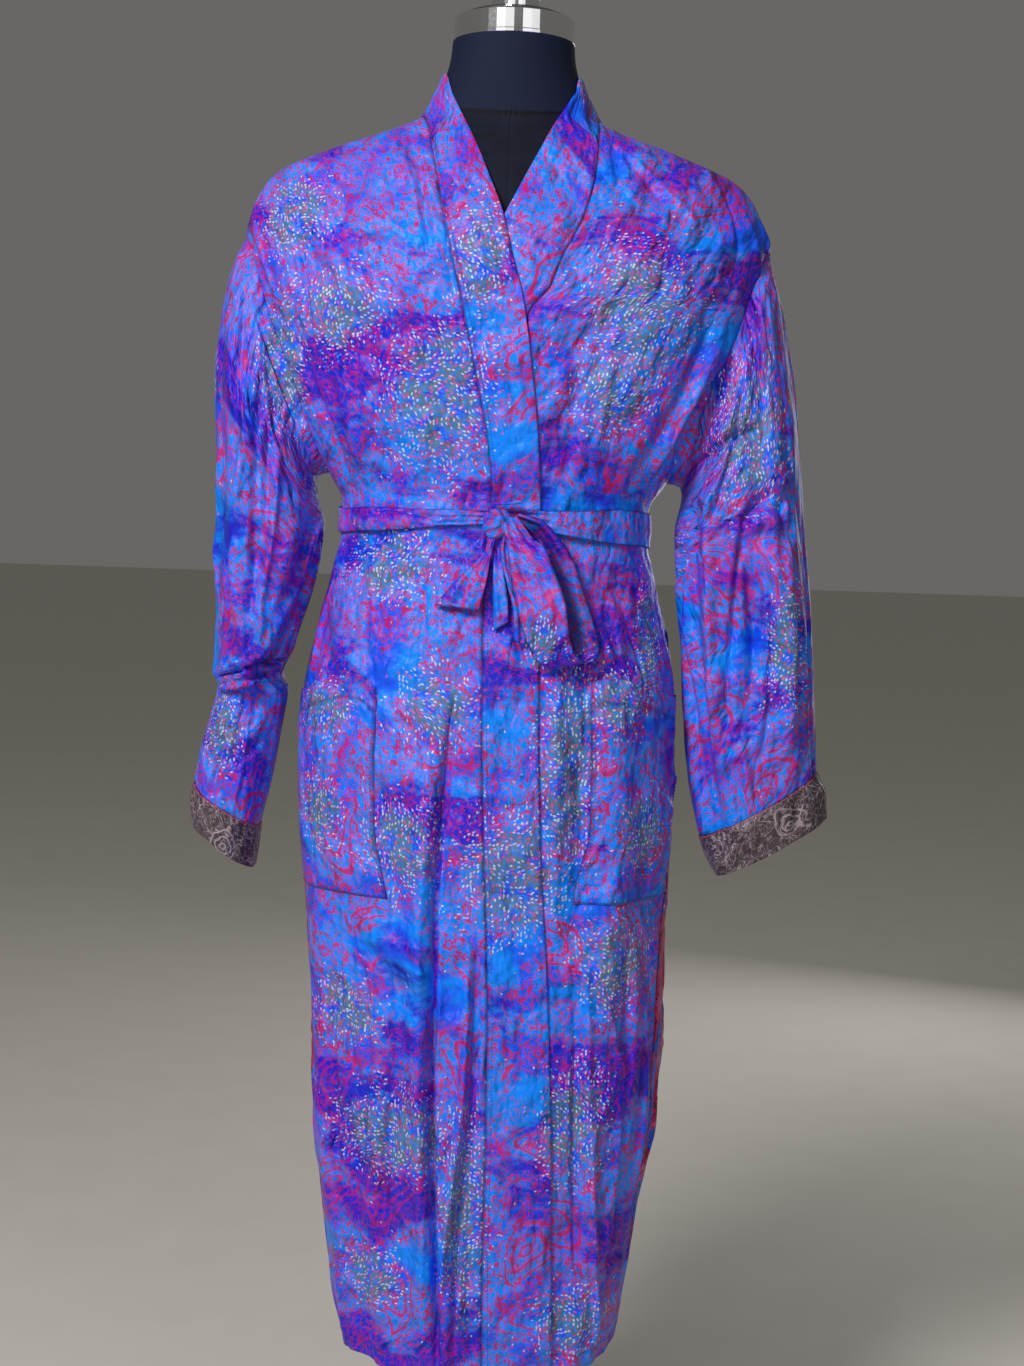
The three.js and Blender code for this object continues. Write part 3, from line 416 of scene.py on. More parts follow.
def strew(seed, count, s_range, z_range, lean_spread, lean_middle=0.0):
    """Places for strewn creases, always the same for a seed."""
    pick = np.random.default_rng(seed)
    places = []
    for _ in range(count):
        lean = pick.normal(lean_middle, lean_spread)
        half = pick.uniform(18, 62)
        before, after = pick.uniform(2.2, 6.5, 2)
        tall = pick.uniform(0.9, 2.7) * (1 if pick.random() < 0.42 else -1)
        places.append((pick.uniform(*s_range), pick.uniform(*z_range), lean, half, before, after, tall))
    return places


SKIRT_SMALL = strewn_creases(strew(11, 210, (-500, 500), (250, 1060), 0.2), 1000)
HIP_SMALL = strewn_creases(strew(12, 60, (-500, 500), (450, 1000), 0.25, 1.4), 1000)
CHEST_SMALL = strewn_creases(strew(13, 130, (-500, 500), (1130, 1470), 0.5), 1000)


FLAT_DEGREES = 0.36  # degrees for each millimetre, with the body laid out 1 m wide


def small_creases(angle, z):
    s = angle / FLAT_DEGREES
    total = SKIRT_SMALL(s, z) + HIP_SMALL(s, z) * 0.7 + CHEST_SMALL(s, z)
    return total * cinch(z) * smooth(1500, 1465, z)


def ripple(angle, z):
    """Slow unevenness that every layer of the cloth shares."""
    turn = angle * RAD
    wave = 0.9 * np.sin(4 * turn + 2.1 * np.sin(z / 171) + 0.7) * np.sin(z / 93 + 1.3 * np.sin(2 * turn))
    wave = wave + 0.6 * np.sin(8 * turn + z / 67 + 1.7 * np.sin(z / 43))
    return wave * cinch(z) * smooth(1440, 1370, z)


# How far the cloth may sink into the body surface, and at the shoulders, where the form is close.
DEEPEST_SINK = 14.0
SHOULDER_SINK = 0.4


def raised(angle, z, out, fold_share=1.0, crease_share=1.0, lift=0.0):
    """A place on a layer of the body, raised from the body surface along its normal."""
    height = out + lift + ripple(angle, z)
    creases = crease_height(angle, z) + small_creases(angle, z)
    height = height + fold_height(angle, z) * fold_share + creases * crease_share
    near = min(np.min(out), SHOULDER_SINK)
    height = np.maximum(height, mix(-DEEPEST_SINK, near, smooth(1395, 1445, z)))
    return body_base(angle, z) + outward(angle, z) * height[..., None]


# ---- Meshes ----------------------------------------------------------------------------------
def as_mesh(name, points, uv, material, around=False, looped=False, weld=False, marks=None):
    """Makes an object of a grid of points. around joins the last column to the first, looped
    joins the last row to the first, and weld closes poles and pinched ends. uv is in metres,
    with one more column or row than the points have where they are joined."""
    rows, cols = points.shape[:2]
    i = np.arange(rows if looped else rows - 1)
    j = np.arange(cols if around else cols - 1)
    i, j = (a.ravel() for a in np.meshgrid(i, j, indexing="ij"))
    i2, j2 = i + 1, j + 1
    corners = [(i, j), (i, j2), (i2, j2), (i2, j)]
    flat = points.reshape(-1, 3) / 1000
    faces = np.stack([(a % rows) * cols + b % cols for a, b in corners], axis=1)
    corner = flat[faces]
    normal = np.cross(corner[:, 2] - corner[:, 0], corner[:, 3] - corner[:, 1])
    middle = points.mean(axis=1 if around or looped is False else 0) / 1000
    if around:
        away = corner.mean(axis=1) - middle[i]
    elif looped:
        away = corner.mean(axis=1) - middle[j]
    else:
        away = corner.mean(axis=1) * [1, 1, 0]
    if (normal * away).sum() < 0:
        faces = faces[:, ::-1]
        corners = corners[::-1]
    mesh = bpy.data.meshes.new(name)
    mesh.vertices.add(len(flat))
    mesh.vertices.foreach_set("co", flat.astype(np.float32).ravel())
    mesh.loops.add(faces.size)
    mesh.loops.foreach_set("vertex_index", faces.astype(np.int32).ravel())
    mesh.polygons.add(len(faces))
    mesh.polygons.foreach_set("loop_start", np.arange(0, faces.size, 4, dtype=np.int32))
    mesh.polygons.foreach_set("use_smooth", np.ones(len(faces), bool))
    mesh.update(calc_edges=True)
    layer = mesh.uv_layers.new(name="Cut")
    places = np.stack([uv[a, b] for a, b in corners], axis=1)
    layer.data.foreach_set("uv", places.astype(np.float32).ravel())
    marks = {"grain": grain_mark(points), **(marks or {})}
    for mark, values in marks.items():
        attribute = mesh.attributes.new(mark, "FLOAT", "POINT")
        attribute.data.foreach_set("value", values.astype(np.float32).ravel())
    if weld:
        shape = bmesh.new()
        shape.from_mesh(mesh)
        bmesh.ops.remove_doubles(shape, verts=shape.verts, dist=2e-5)
        shape.to_mesh(mesh)
        shape.free()
    mesh.validate()
    mesh.materials.append(material)
    piece = bpy.data.objects.new(name, mesh)
    bpy.context.scene.collection.objects.link(piece)
    return piece


# Where the print's dabs gather on the front: middle and half sizes.
GRAIN_PATCHES = [
    (-212, 1401, 30, 34), (-161, 1306, 42, 34), (-62, 1222, 46, 62), (-25, 1362, 26, 48),
    (133, 1314, 46, 60), (109, 1234, 34, 34), (-221, 1259, 22, 60), (253, 1199, 32, 62),
    (299, 988, 18, 58), (-275, 882, 18, 40), (-53, 919, 34, 36), (-103, 1054, 38, 30),
    (-168, 908, 24, 26), (-169, 805, 22, 34), (-85, 781, 34, 40), (78, 859, 28, 92),
    (126, 928, 26, 30), (29, 754, 46, 56), (129, 663, 34, 42), (-80, 490, 52, 38),
    (-137, 607, 30, 30), (-12, 412, 22, 80), (95, 502, 30, 58), (100, 295, 32, 34),
    (-102, 337, 30, 28), (157, 991, 12, 58), (156, 796, 20, 36), (48, 985, 14, 24),
]


def grain_mark(points):
    """How thickly the dabs gather, in listed patches in front and staggered ones behind."""
    x, y, z = points[..., 0], points[..., 1], points[..., 2]
    front = np.zeros(x.shape)
    for middle_x, middle_z, wide, tall in GRAIN_PATCHES:
        away = ((x - middle_x) / wide) ** 2 + ((z - middle_z) / tall) ** 2
        front = np.maximum(front, np.exp(-0.75 * away))
    around = np.arctan2(x, -y) * 190
    rows = np.cos(around * 0.03 + 1.9 * np.sin(z / 77)) * np.cos(z * 0.027 + 1.1 * np.sin(around / 53))
    return mix(smooth(0.2, 1, rows), front, smooth(-5, -45, y))


def cut_uv(points, offset=(0.0, 0.0), turn=0.0, around=False, looped=False, spine=None):
    """Lengths along the cloth, in metres, from its corner: the place of the print on it.
    Lengths down it are taken along the column spine, or averaged over all of them."""
    grid = points
    if around:
        grid = np.concatenate([grid, grid[:, :1]], axis=1)
    if looped:
        grid = np.concatenate([grid, grid[:1]], axis=0)
    across = np.linalg.norm(np.diff(grid, axis=1), axis=-1)
    u = np.concatenate([np.zeros((len(grid), 1)), np.cumsum(across, axis=1)], axis=1)
    down = np.linalg.norm(np.diff(grid, axis=0), axis=-1)
    down = down.mean(axis=1) if spine is None else down[:, spine]
    v = np.concatenate([[0], np.cumsum(down)])[:, None] + np.zeros_like(u)
    c, s = math.cos(turn), math.sin(turn)
    place = np.stack([u * c - v * s, u * s + v * c], axis=-1) / 1000
    return place + np.array(offset)


def surface_normals(points, around=False):
    if around:
        wrapped = np.concatenate([points[:, -1:], points, points[:, :1]], axis=1)
        across = wrapped[:, 2:] - wrapped[:, :-2]
    else:
        across = np.gradient(points, axis=1)
    return unit(np.cross(across, np.gradient(points, axis=0)))


def finished(piece, slot, *nodes):
    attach(piece, "root")
    if nodes:
        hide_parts(*nodes)
    return piece


# ---- Seams and edges of the body panels ------------------------------------------------------
SEAM_EDGES = table("z right left", [
    [240, 12, 22],
    [360, 9, 18],
    [520, 8, 10],
    [665, 4, 4],
    [800, -4, -2],
    [960, -10, -8],
    [1060, -11, -12],
    [1136, -7, -12],
    [1200, -15, -6],
    [1240, -24, 3],
    [1311, -40, 26],
    [1333, -45, 44],
    [1363, -53, 55],
    [1405, -63, 75],
    [1448, -72, 86],
    [1475, -78, 88],
    [1495, -82, 89],
    [1503, -85, 90],
    [NECK_Z, -88, 88],
])
FREE_EDGES = table("z right left", [
    [240, 80, -40],
    [360, 77, -44],
    [520, 71, -50],
    [665, 62, -56],
    [800, 51, -60],
    [960, 45, -66],
    [1060, 43, -68],
    [1136, 41, -68],
    [1200, 36, -66],
    [1241, 31, -62],
    [1322, 18, -40],
    [1364, 6, -22],
    [1404, -4, -3],
    [1435, -16, 12],
    [1471, -30, 29],
    [1499, -43, 42],
    [1532, -59, 60],
    [1541, -62, 65],
    [1549, -64, 65.5],
    [1557, -67, 67],
])
BAND_RISE = table("z right left", [
    [1136, 0, 0],
    [1200, 8, 10],
    [1240, 11, 20],
    [1311, 13, 30],
    [1363, 12, 31],
    [1405, 16, 33],
    [1424, 24, 35],
    [1448, 35, 40],
    [1475, 43, 44],
    [1486, 46, 45],
    [NECK_Z, 45, 45],
])
SIDES = table("z right left", [
    [240, -84, 86],
    [290, -80, 82],
    [360, -75, 72],
    [450, -72, 64],
    [600, -73, 62],
    [700, -78, 69],
    [745, -84, 77],
    [800, -90, 88],
    [860, -90, 90],
])


def by_side(rows):
    return {side: curve(rows, "z", side) for side in ("right", "left")}


seam_x = by_side(SEAM_EDGES)
free_x = by_side(FREE_EDGES)
band_rise = by_side(BAND_RISE)
side_angle = by_side(SIDES)


def band_lift(z):
    return LAP * smooth(1470, 1415, z)


def lap_lift(angle, z):
    return band_lift(z) * smooth(-42, -28, angle)


def panel_limit(side, face, z):
    """The outer limit of a panel: its side seam, the armhole or the shoulder seam."""
    sign = -1 if side == "right" else 1
    away = -1 if face == "front" else 1
    deep = ARM_DEEP * np.sqrt(np.clip(1 - ((z - ARM_MIDDLE) / ARM_HALF) ** 2, 0, 1))
    armhole = sign * (90 + away * opening_angle(deep, z, face))
    sewn = side_angle[side](z)
    sewn = sewn + sign * away * degrees_for(SEWN_GAP / 2, sewn, z)
    return np.where((z > ARM_LOW + 0.01) & (z < ARM_HIGH - 0.01), armhole, sewn)


ROW_STEP = 5.0
HEM_TURN = 18.0  # how far the hem is turned up inside
HEM_INSIDE = -1.1


def panel_rows():
    """Heights of a panel's rows and how far each stands out, the turned hem first."""
    low = np.linspace(HEM_Z + 1, ARM_LOW, int((ARM_LOW - HEM_Z) / ROW_STEP))
    arm = ARM_MIDDLE - ARM_HALF * np.cos(np.linspace(0, math.pi, 52))
    high = np.linspace(ARM_HIGH, NECK_Z, 34)
    inside = HEM_Z + np.linspace(HEM_TURN, 1.2, 4)
    z = np.concatenate([inside, [HEM_Z], low, arm[1:-1], high])
    out = np.concatenate([np.full(4, HEM_INSIDE), [HEM_INSIDE / 2], np.zeros(len(z) - 5)])
    return z, out


PANEL_Z, PANEL_OUT = panel_rows()
EDGE_STEPS = np.array([0, 0.8, 2.0, 3.8])
SEAM_DIP = 1.25
# Painted shade: how dark the colour is painted along the panels' sewn edges and the band's seam, where the seams are
# shaded.
SEAM_PAINTED_SHADE = 0.75


def edged_angles(inner, limit, z, count):
    """Angles across a panel with a few close columns along both of its sewn edges."""
    sign = np.sign(limit - inner)
    near = inner[:, None] + sign[:, None] * degrees_for(1, inner, z)[:, None] * EDGE_STEPS
    far = limit[:, None] - sign[:, None] * degrees_for(1, limit, z)[:, None] * EDGE_STEPS[::-1]
    share = np.linspace(0, 1, count + 2)[1:-1]
    middle = mix(near[:, -1:], far[:, :1], share[None, :])
    return np.concatenate([near, middle, far], axis=1)


def beside_seams(cols):
    """1 on a panel's sewn edges, and 0 a few columns in from them."""
    near = np.zeros(cols)
    edge = np.exp(-((EDGE_STEPS / 1.7) ** 2))
    near[: len(edge)] = edge
    near[-len(edge) :] = edge[::-1]
    return near


FOLD_CLEAR = 7


def front_shares(side, angle, z):
    """How much of the folds and creases a front keeps beside its band."""
    if side == "right":
        off = angle_at_x(seam_x["right"](z), z) - angle
        return smooth(0, FOLD_CLEAR, off), smooth(0, 2.5, off)
    edge = np.maximum(free_x["right"](z), seam_x["left"](z))
    off = angle - angle_at_x(edge, z)
    return smooth(0.5, FOLD_CLEAR, off), smooth(0, 3, off)


def front_place(side, angle, z, out):
    folds, creases = front_shares(side, angle, z)
    lift = lap_lift(angle, z) if side == "right" else 0.0
    return raised(angle, z, out, folds, creases, lift)


FRONT_COUNT = 176
BACK_COUNT = 230


def front_panel(side):
    sign = -1 if side == "right" else 1
    inner = angle_at_x(seam_x[side](PANEL_Z) + sign * SEWN_GAP / 2, PANEL_Z)
    limit = panel_limit(side, "front", PANEL_Z)
    angle = edged_angles(inner, limit, PANEL_Z, FRONT_COUNT)
    z = PANEL_Z[:, None] + np.zeros_like(angle)
    near = beside_seams(angle.shape[1])[None, :] + np.zeros_like(angle)
    points = front_place(side, angle, z, CLOTH + PANEL_OUT[:, None] - SEAM_DIP * near)
    # The second value is painted shade along both sewn edges of the panel.
    return points, SEAM_PAINTED_SHADE * near


def back_panel():
    inner = panel_limit("left", "back", PANEL_Z)
    limit = 360 + panel_limit("right", "back", PANEL_Z)
    angle = edged_angles(inner, limit, PANEL_Z, BACK_COUNT)
    z = PANEL_Z[:, None] + np.zeros_like(angle)
    near = beside_seams(angle.shape[1])[None, :] + np.zeros_like(angle)
    points = raised(angle, z, CLOTH + PANEL_OUT[:, None] - SEAM_DIP * near)
    lengths = np.linalg.norm(np.diff(points, axis=1), axis=-1)
    across = np.concatenate([np.zeros((len(points), 1)), np.cumsum(lengths, axis=1)], axis=1)
    edge = np.minimum(across, across[:, -1:] - across)
    border = smooth(78, 66, edge) * smooth(900, 820, z)
    # Also returns the side border of the print and painted shade along both sewn edges.
    return points, border, SEAM_PAINTED_SHADE * near


# ---- Patch pockets ---------------------------------------------------------------------------
PANEL_SHARES = 17
PANEL_CROWD = 1.18
POCKET_FIRST = 7
POCKET_LOW = 725
POCKET_HIGH = 920
MOUTH_SPAN = 65  # the mouth's rise is a share of this
MOUTHS = {
    "right": [0.16, 0.36, 0.4, 0.36, 0.3, 0.22, 0.14, 0.08, 0.04, 0.02],
    "left": [0.42, 0.44, 0.42, 0.38, 0.34, 0.28, 0.2, 0.14, 0.1, 0.12],
}
POCKET_OUT = 2 * CLOTH + SEAM
POCKET_HEM = 22


def pocket_place(side, share, z, out):
    """A place on a pocket: share runs across it from its front edge to its side edge."""
    sign = -1 if side == "right" else 1
    inner = angle_at_x(seam_x[side](z) + sign * SEAM / 2, z)
    limit = panel_limit(side, "front", z)
    across = (POCKET_FIRST + share * (len(MOUTHS[side]) - 1)) / PANEL_SHARES
    return front_place(side, mix(inner, limit, across**PANEL_CROWD), z, out)


def mouth_height(side, share):
    columns = np.linspace(0, 1, len(MOUTHS[side]))
    rise = np.interp(share, columns, MOUTHS[side])
    return POCKET_HIGH + rise * MOUTH_SPAN


def pocket_grid(side, across, up):
    """Shares and heights over a pocket, its mouth's height and how far the mouth gapes."""
    share, t = np.meshgrid(across, up)
    top = mouth_height(side, share)
    sag = 1.6 * np.sin(share * 7.3 + 0.6) * smooth(0.75, 1, t)
    gape = 1.5 * smooth(0.6, 1, t) * np.sin(np.pi * share) ** 0.7
    return share, t, top, mix(POCKET_LOW, top + sag, t), gape


def pocket_sheet(side):
    edge = np.array([0, 0.005, 0.014, 0.03])
    across = np.concatenate([edge, np.linspace(0.05, 0.95, 54), 1 - edge[::-1]])
    up = np.concatenate([[0, 0.004, 0.012, 0.03], np.linspace(0.05, 0.96, 56), [0.99, 1]])
    share, t, top, z, gape = pocket_grid(side, across, up)
    sewn = np.minimum(share, 1 - share) * 92
    below = t * (top - POCKET_LOW)
    under_hem = top - z - POCKET_HEM
    sink = 1.5 * np.exp(-((sewn / 1.6) ** 2)) + 1.5 * np.exp(-((below / 1.6) ** 2))
    hem_line = 0.7 * np.exp(-((under_hem / 1.4) ** 2))
    pucker = 0.35 * np.sin(share * 46) * np.exp(-((under_hem / 9) ** 2))
    out = POCKET_OUT - np.minimum(sink, 1.6) - hem_line + gape + pucker
    # Painted shade: thin dark lines along the pocket's sewn edges and its hem line, where the raised edges shade the
    # cloth.
    edges = np.exp(-((np.minimum(sewn, below) / 1.7) ** 2))
    lines = np.maximum(edges, 0.8 * np.exp(-((under_hem / 2) ** 2)))
    face = pocket_place(side, share, z, out)
    share, _, _, z, gape = pocket_grid(side, across, np.linspace(0.9965, 0.9, 5))
    inside = pocket_place(side, share, z, POCKET_OUT - 1.1 + gape)
    lines = np.concatenate([lines, np.zeros(share.shape)], axis=0)
    return np.concatenate([face, inside], axis=0), lines


def pocket_runs(side):
    """What a pocket is sewn along: its hem, its lower edge and its two sides."""
    share = np.linspace(0.02, 0.98, 60)
    flat = np.full(60, POCKET_OUT)
    hem = pocket_place(side, share, mouth_height(side, share) - POCKET_HEM, flat - 0.2)
    low = pocket_place(side, share, np.full(60, POCKET_LOW + 2.5), flat)
    up = np.linspace(POCKET_LOW + 3, POCKET_HIGH + 2, 50)
    sides = [pocket_place(side, np.full(50, at), up, np.full(50, POCKET_OUT)) for at in (0.025, 0.975)]
    return [hem, low, *sides]

# ---- Neck and front bands --------------------------------------------------------------------
COLLAR_ROWS = 64
BAND_CREASES = {
    "right": [
        ([(-69, 1502), (-51, 1406), (-28, 1290), (-2, 1180), (6, 1130)], 2.5, 3.5, -1.5, 40),
        ([(10, 1300), (20, 1220), (28, 1150)], 3, 3, 0.9, 30),
        ([(36, 1070), (30, 980), (22, 860)], 5, 5, -1.6, 40),
        ([(6, 1074), (12, 1010), (20, 930), (30, 800)], 4, 5, 1.3, 50),
        ([(20, 800), (34, 640), (44, 480), (48, 300)], 5, 5, -1.4, 80),
        ([(12, 420), (40, 404), (68, 412)], 4, 5, -1.2, 15),
        ([(30, 640), (34, 560), (30, 500)], 4, 4, 1.1, 30),
        ([(50, 330), (54, 290), (52, 250)], 4, 4, -1.3, 20),
    ],
    "left": [
        ([(84, 1470), (66, 1400), (38, 1330), (8, 1270)], 3, 4, -1.2, 40),
        ([(70, 1430), (50, 1380), (26, 1330)], 3, 3, 0.9, 30),
    ],
}


def band_frame(side):
    """The band's sewn edge and free edge, row by row from the hem to the centre of the back."""
    inner = 1 if side == "right" else -1
    sign = -inner
    z = PANEL_Z[5:-1]
    top = z + band_rise[side](z)
    low_angle = angle_at_x(seam_x[side](z) + inner * SEWN_GAP / 2, z)
    high_angle = angle_at_x(free_x[side](top), top)
    neck = np.array([float(NECK_Z)])
    neck_top = neck + band_rise[side](neck)
    start_low = angle_at_x(seam_x[side](neck) + inner * SEWN_GAP / 2, neck)
    start_high = angle_at_x(free_x[side](neck_top), neck_top)
    t = np.linspace(0, 1, COLLAR_ROWS)
    end = sign * (180 - degrees_for(SEWN_GAP / 2, 180.0, float(COLLAR_Z)))
    low = np.stack([
        np.concatenate([low_angle, mix(start_low, end, t)]),
        np.concatenate([z, np.full(COLLAR_ROWS, NECK_Z + SEWN_GAP)]),
    ], axis=-1)
    high = np.stack([
        np.concatenate([high_angle, mix(start_high, end, t)]),
        np.concatenate([top, mix(neck_top, COLLAR_Z, smooth(0, 0.4, t))]),
    ], axis=-1)
    return low, high


def band_section():
    """A folded strip's section: shares of the way to the fold, and heights off the body."""
    face = [(0, 0.9), (0.012, 1.5), (0.035, 2.2)]
    face += [(t, BAND_CLOTH + 0.25 * math.sin(math.pi * t)) for t in np.linspace(0.08, 0.94, 15)]
    edge = [(0.975, 2.2), (0.993, 1.75), (1.0, 1.2), (0.993, 0.65), (0.975, 0.3)]
    under = [(t, 0.25) for t in (0.9, 0.7, 0.45, 0.2, 0.03)]
    return np.array(face + edge + under)


def band_sheet(side):
    low, high = band_frame(side)
    section = band_section()
    share, out = section[:, 0][None, :], section[:, 1][None, :]
    place = low[:, None, :] + (high - low)[:, None, :] * share[..., None]
    angle, z = place[..., 0], place[..., 1]
    lift = band_lift(z) if side == "right" else 0.0
    creases = np.zeros_like(angle)
    s = ((angle + 180) % 360 - 180) * girth_step(z)
    for points, *rest in BAND_CREASES[side]:
        creases += polyline_height(s, z, (flattened(points, True), *rest))
    upper = smooth(0.3, 1.6, out)
    step = 0.55 * np.sin(s / 11 + z / 23) * smooth(0.0, 0.3, share) * smooth(14, 40, np.abs(z - WAIST_Z))
    height = out + (creases * upper + step * 0.6) * smooth(0, 0.12, share)
    return raised(angle, z, np.maximum(height, 0.15), 0.0, 0.0, lift)


# ---- Sleeves and cuffs -----------------------------------------------------------------------
SLEEVE_COLUMNS = "outX outZ inX inZ deep y"
SLEEVES = {
    "right": [
        [277, 1372, 189, 1145, 62, -2],
        [286, 1343, 191, 1137, 66, -3],
        [293, 1300, 190, 1128, 71, -4],
        [297, 1245, 187, 1118, 74, -4],
        [296, 1190, 184, 1106, 75, -4],
        [294, 1135, 182, 1090, 77, -4],
        [291, 1080, 184, 1064, 77, -5],
        [291, 1030, 191, 1028, 75, -6],
        [291, 985, 202, 990, 72, -8],
        [292, 955, 212, 959, 69, -8],
        [293, 938, 220, 938, 69, -8],
        [287, 924, 215, 920, 61, -8],
        [294, 892, 221, 880, 60, -9],
        [303, 857, 229, 829, 60, -10],
        [309, 822, 239, 780, 60, -11],
    ],
    "left": [
        [273, 1371, 189, 1145, 62, -2],
        [281, 1340, 191, 1137, 67, -3],
        [290, 1297, 190, 1129, 70, -4],
        [300, 1248, 188, 1121, 71, -5],
        [308, 1200, 186, 1112, 70, -6],
        [314, 1150, 185, 1098, 69, -7],
        [320, 1095, 186, 1072, 67, -8],
        [327, 1040, 189, 1034, 65, -9],
        [332, 987, 194, 982, 62, -10],
        [336, 938, 198, 922, 59, -10],
        [339, 896, 206, 850, 56, -10],
        [342, 854, 222, 782, 53, -10],
    ],
}
CUFFS = {
    "right": [[312, 802, 241, 757, 58, -11], [309, 783, 244, 735, 56, -11]],
    "left": [[351, 831, 229, 762, 52, -10], [352, 806, 240, 742, 49, -10]],
}
CUFF_DROP = 1.5 * SEAM
# Folds that run down a sleeve: turn and row at both ends, width in degrees and height.
SLEEVE_FOLDS = {
    "right": [
        [150, 6, 118, 12, 16, -13],
        [128, 6, 92, 12, 14, 6],
        [52, 1, 64, 7, 13, 6],
        [30, 3, 34, 11, 14, -5],
        [95, 12, 100, 16, 18, -5],
        [250, 3, 262, 12, 20, 7],
        [300, 5, 290, 14, 18, -7],
    ],
    "left": [
        [150, 5, 140, 12, 13, -12],
        [118, 1, 124, 12, 13, 7],
        [66, 3, 88, 8, 12, -7],
        [48, 4, 58, 11, 13, 6],
        [20, 7, 14, 12, 12, -6],
        [250, 3, 258, 11, 20, 7],
        [300, 4, 292, 12, 18, -7],
    ],
}
# Creases on a sleeve's front, by distance from the centre line and height, and on its back, by
# turn round the sleeve and height: widths, height and fade as on the body.
SLEEVE_FRONT_CREASES = {
    "right": [
        ([(248, 1330), (262, 1200), (270, 1060), (272, 970)], 4, 5, -3, 60),
        ([(215, 1300), (224, 1166), (233, 1040), (238, 965)], 4, 5, 3, 60),
        ([(232, 1250), (244, 1120), (252, 1000)], 5, 5, -2.6, 60),
        ([(178, 1090), (194, 1030), (216, 976), (236, 945)], 4, 5, -6, 25),
        ([(186, 1100), (204, 1040), (226, 986), (246, 950)], 4, 5, 4, 25),
        ([(244, 1317), (221, 1248), (203, 1188)], 3, 4, -4, 25),
        ([(226, 1210), (232, 1120), (246, 1030), (254, 980)], 8, 9, -4, 40),
        ([(252, 1260), (258, 1180), (266, 1080), (268, 1000)], 8, 8, 3, 50),
        ([(235, 945), (221, 925), (212, 902)], 3, 4, -3.5, 12),
        ([(283, 934), (262, 944), (236, 950), (208, 949)], 4, 6, -6, 16),
        ([(280, 922), (256, 931), (228, 934)], 4, 4, 4, 16),
        ([(286, 1200), (289, 1100), (288, 1010)], 3, 4, 1.8, 60),
        ([(270, 905), (276, 860), (284, 815)], 4, 5, -2.6, 25),
        ([(248, 900), (252, 850), (262, 800)], 4, 4, 2.4, 25),
        ([(228, 900), (238, 870), (262, 846)], 4, 4, -2, 20),
        ([(280, 1040), (262, 1008), (240, 990)], 5, 5, 2, 25),
    ],
    "left": [
        ([(245, 1103), (254, 1121), (272, 1140), (289, 1119), (298, 1089)], 4, 4, -4, 14),
        ([(256, 1096), (268, 1118), (284, 1100)], 4, 5, 3.5, 12),
        ([(192, 1171), (214, 1184), (236, 1197), (262, 1202)], 4, 4, -4.5, 14),
        ([(241, 1253), (236, 1203), (225, 1152), (212, 1091)], 3, 4, -4, 25),
        ([(250, 1113), (243, 1052), (240, 971), (241, 899)], 3, 4, -4, 30),
        ([(262, 1082), (266, 1000), (262, 920), (257, 858)], 9, 8, -4.5, 40),
        ([(292, 1105), (300, 1020), (303, 900), (306, 860)], 8, 8, 3.5, 40),
        ([(277, 1073), (282, 992), (282, 911), (276, 850)], 3, 4, -3.5, 30),
        ([(282, 1260), (290, 1203), (303, 1075), (314, 936), (322, 860)], 4, 5, -2.8, 60),
        ([(262, 1290), (272, 1180), (282, 1060), (290, 940)], 5, 5, 2.6, 70),
        ([(214, 1150), (214, 1050), (222, 950), (240, 850)], 4, 5, 3.6, 60),
        ([(196, 1100), (190, 1002), (204, 930), (217, 871), (238, 790)], 7, 4, -5, 50),
        ([(250, 1110), (262, 1000), (270, 880)], 5, 6, -2.6, 60),
        ([(236, 1010), (256, 990), (284, 984)], 4, 5, -2, 20),
        ([(296, 960), (276, 930), (262, 912)], 4, 5, 2, 20),
        ([(300, 1160), (284, 1128), (268, 1112)], 4, 5, -2.2, 25),
        ([(322, 1060), (326, 980), (332, 900)], 3, 4, 1.8, 50),
    ],
}
SLEEVE_BACK_CREASES = [
    ([(205, 1240), (214, 1120), (222, 980), (226, 880)], 5, 6, -3.4, 70),
    ([(236, 1300), (240, 1150), (246, 1000)], 6, 6, 3, 70),
    ([(268, 1310), (272, 1180), (276, 1040), (280, 900)], 6, 6, -3.2, 80),
    ([(312, 1290), (318, 1150), (322, 990)], 6, 6, 2.6, 80),
    ([(336, 1300), (340, 1180), (342, 1060), (344, 900)], 5, 5, -2.4, 70),
    ([(220, 1010), (250, 996), (280, 1008)], 6, 6, -2.8, 20),
    ([(240, 930), (270, 912), (306, 926)], 5, 6, -2.4, 20),
]
SLEEVE_SMALL = {
    "right": strewn_creases(strew(21, 90, (0, 414), (60, 640), 0.28), 414),
    "left": strewn_creases(strew(22, 80, (0, 414), (60, 520), 0.28), 414),
}
SLEEVE_TURNS = 168
TURN_STEP = 1.15  # millimetres for each degree round a sleeve
ROW_FINE = 10
SLEEVE_GAIN = 2.0


def sleeve_curves(side):
    rows = SLEEVES[side] + CUFFS[side]
    columns = table(SLEEVE_COLUMNS, rows)
    columns["row"] = np.arange(1, len(rows) + 1, dtype=float)
    return {name: curve(columns, "row", name) for name in SLEEVE_COLUMNS.split()}


def sleeve_fold(side, turn, row):
    total = np.zeros(np.broadcast(turn, row).shape)
    for k, (turn1, row1, turn2, row2, wide, height) in enumerate(SLEEVE_FOLDS[side]):
        along = (row - row1) / (row2 - row1)
        off = (turn - mix(turn1, turn2, along) - 3 * np.sin(row * 0.9 + k) + 540) % 360 - 180
        shown = smooth(-0.25, 0.2, along) * smooth(1.25, 0.85, along)
        total += height * (1 + 0.15 * np.sin(row * 1.3 + 2 * k)) * np.exp(-((off / wide) ** 2)) * shown
    return total


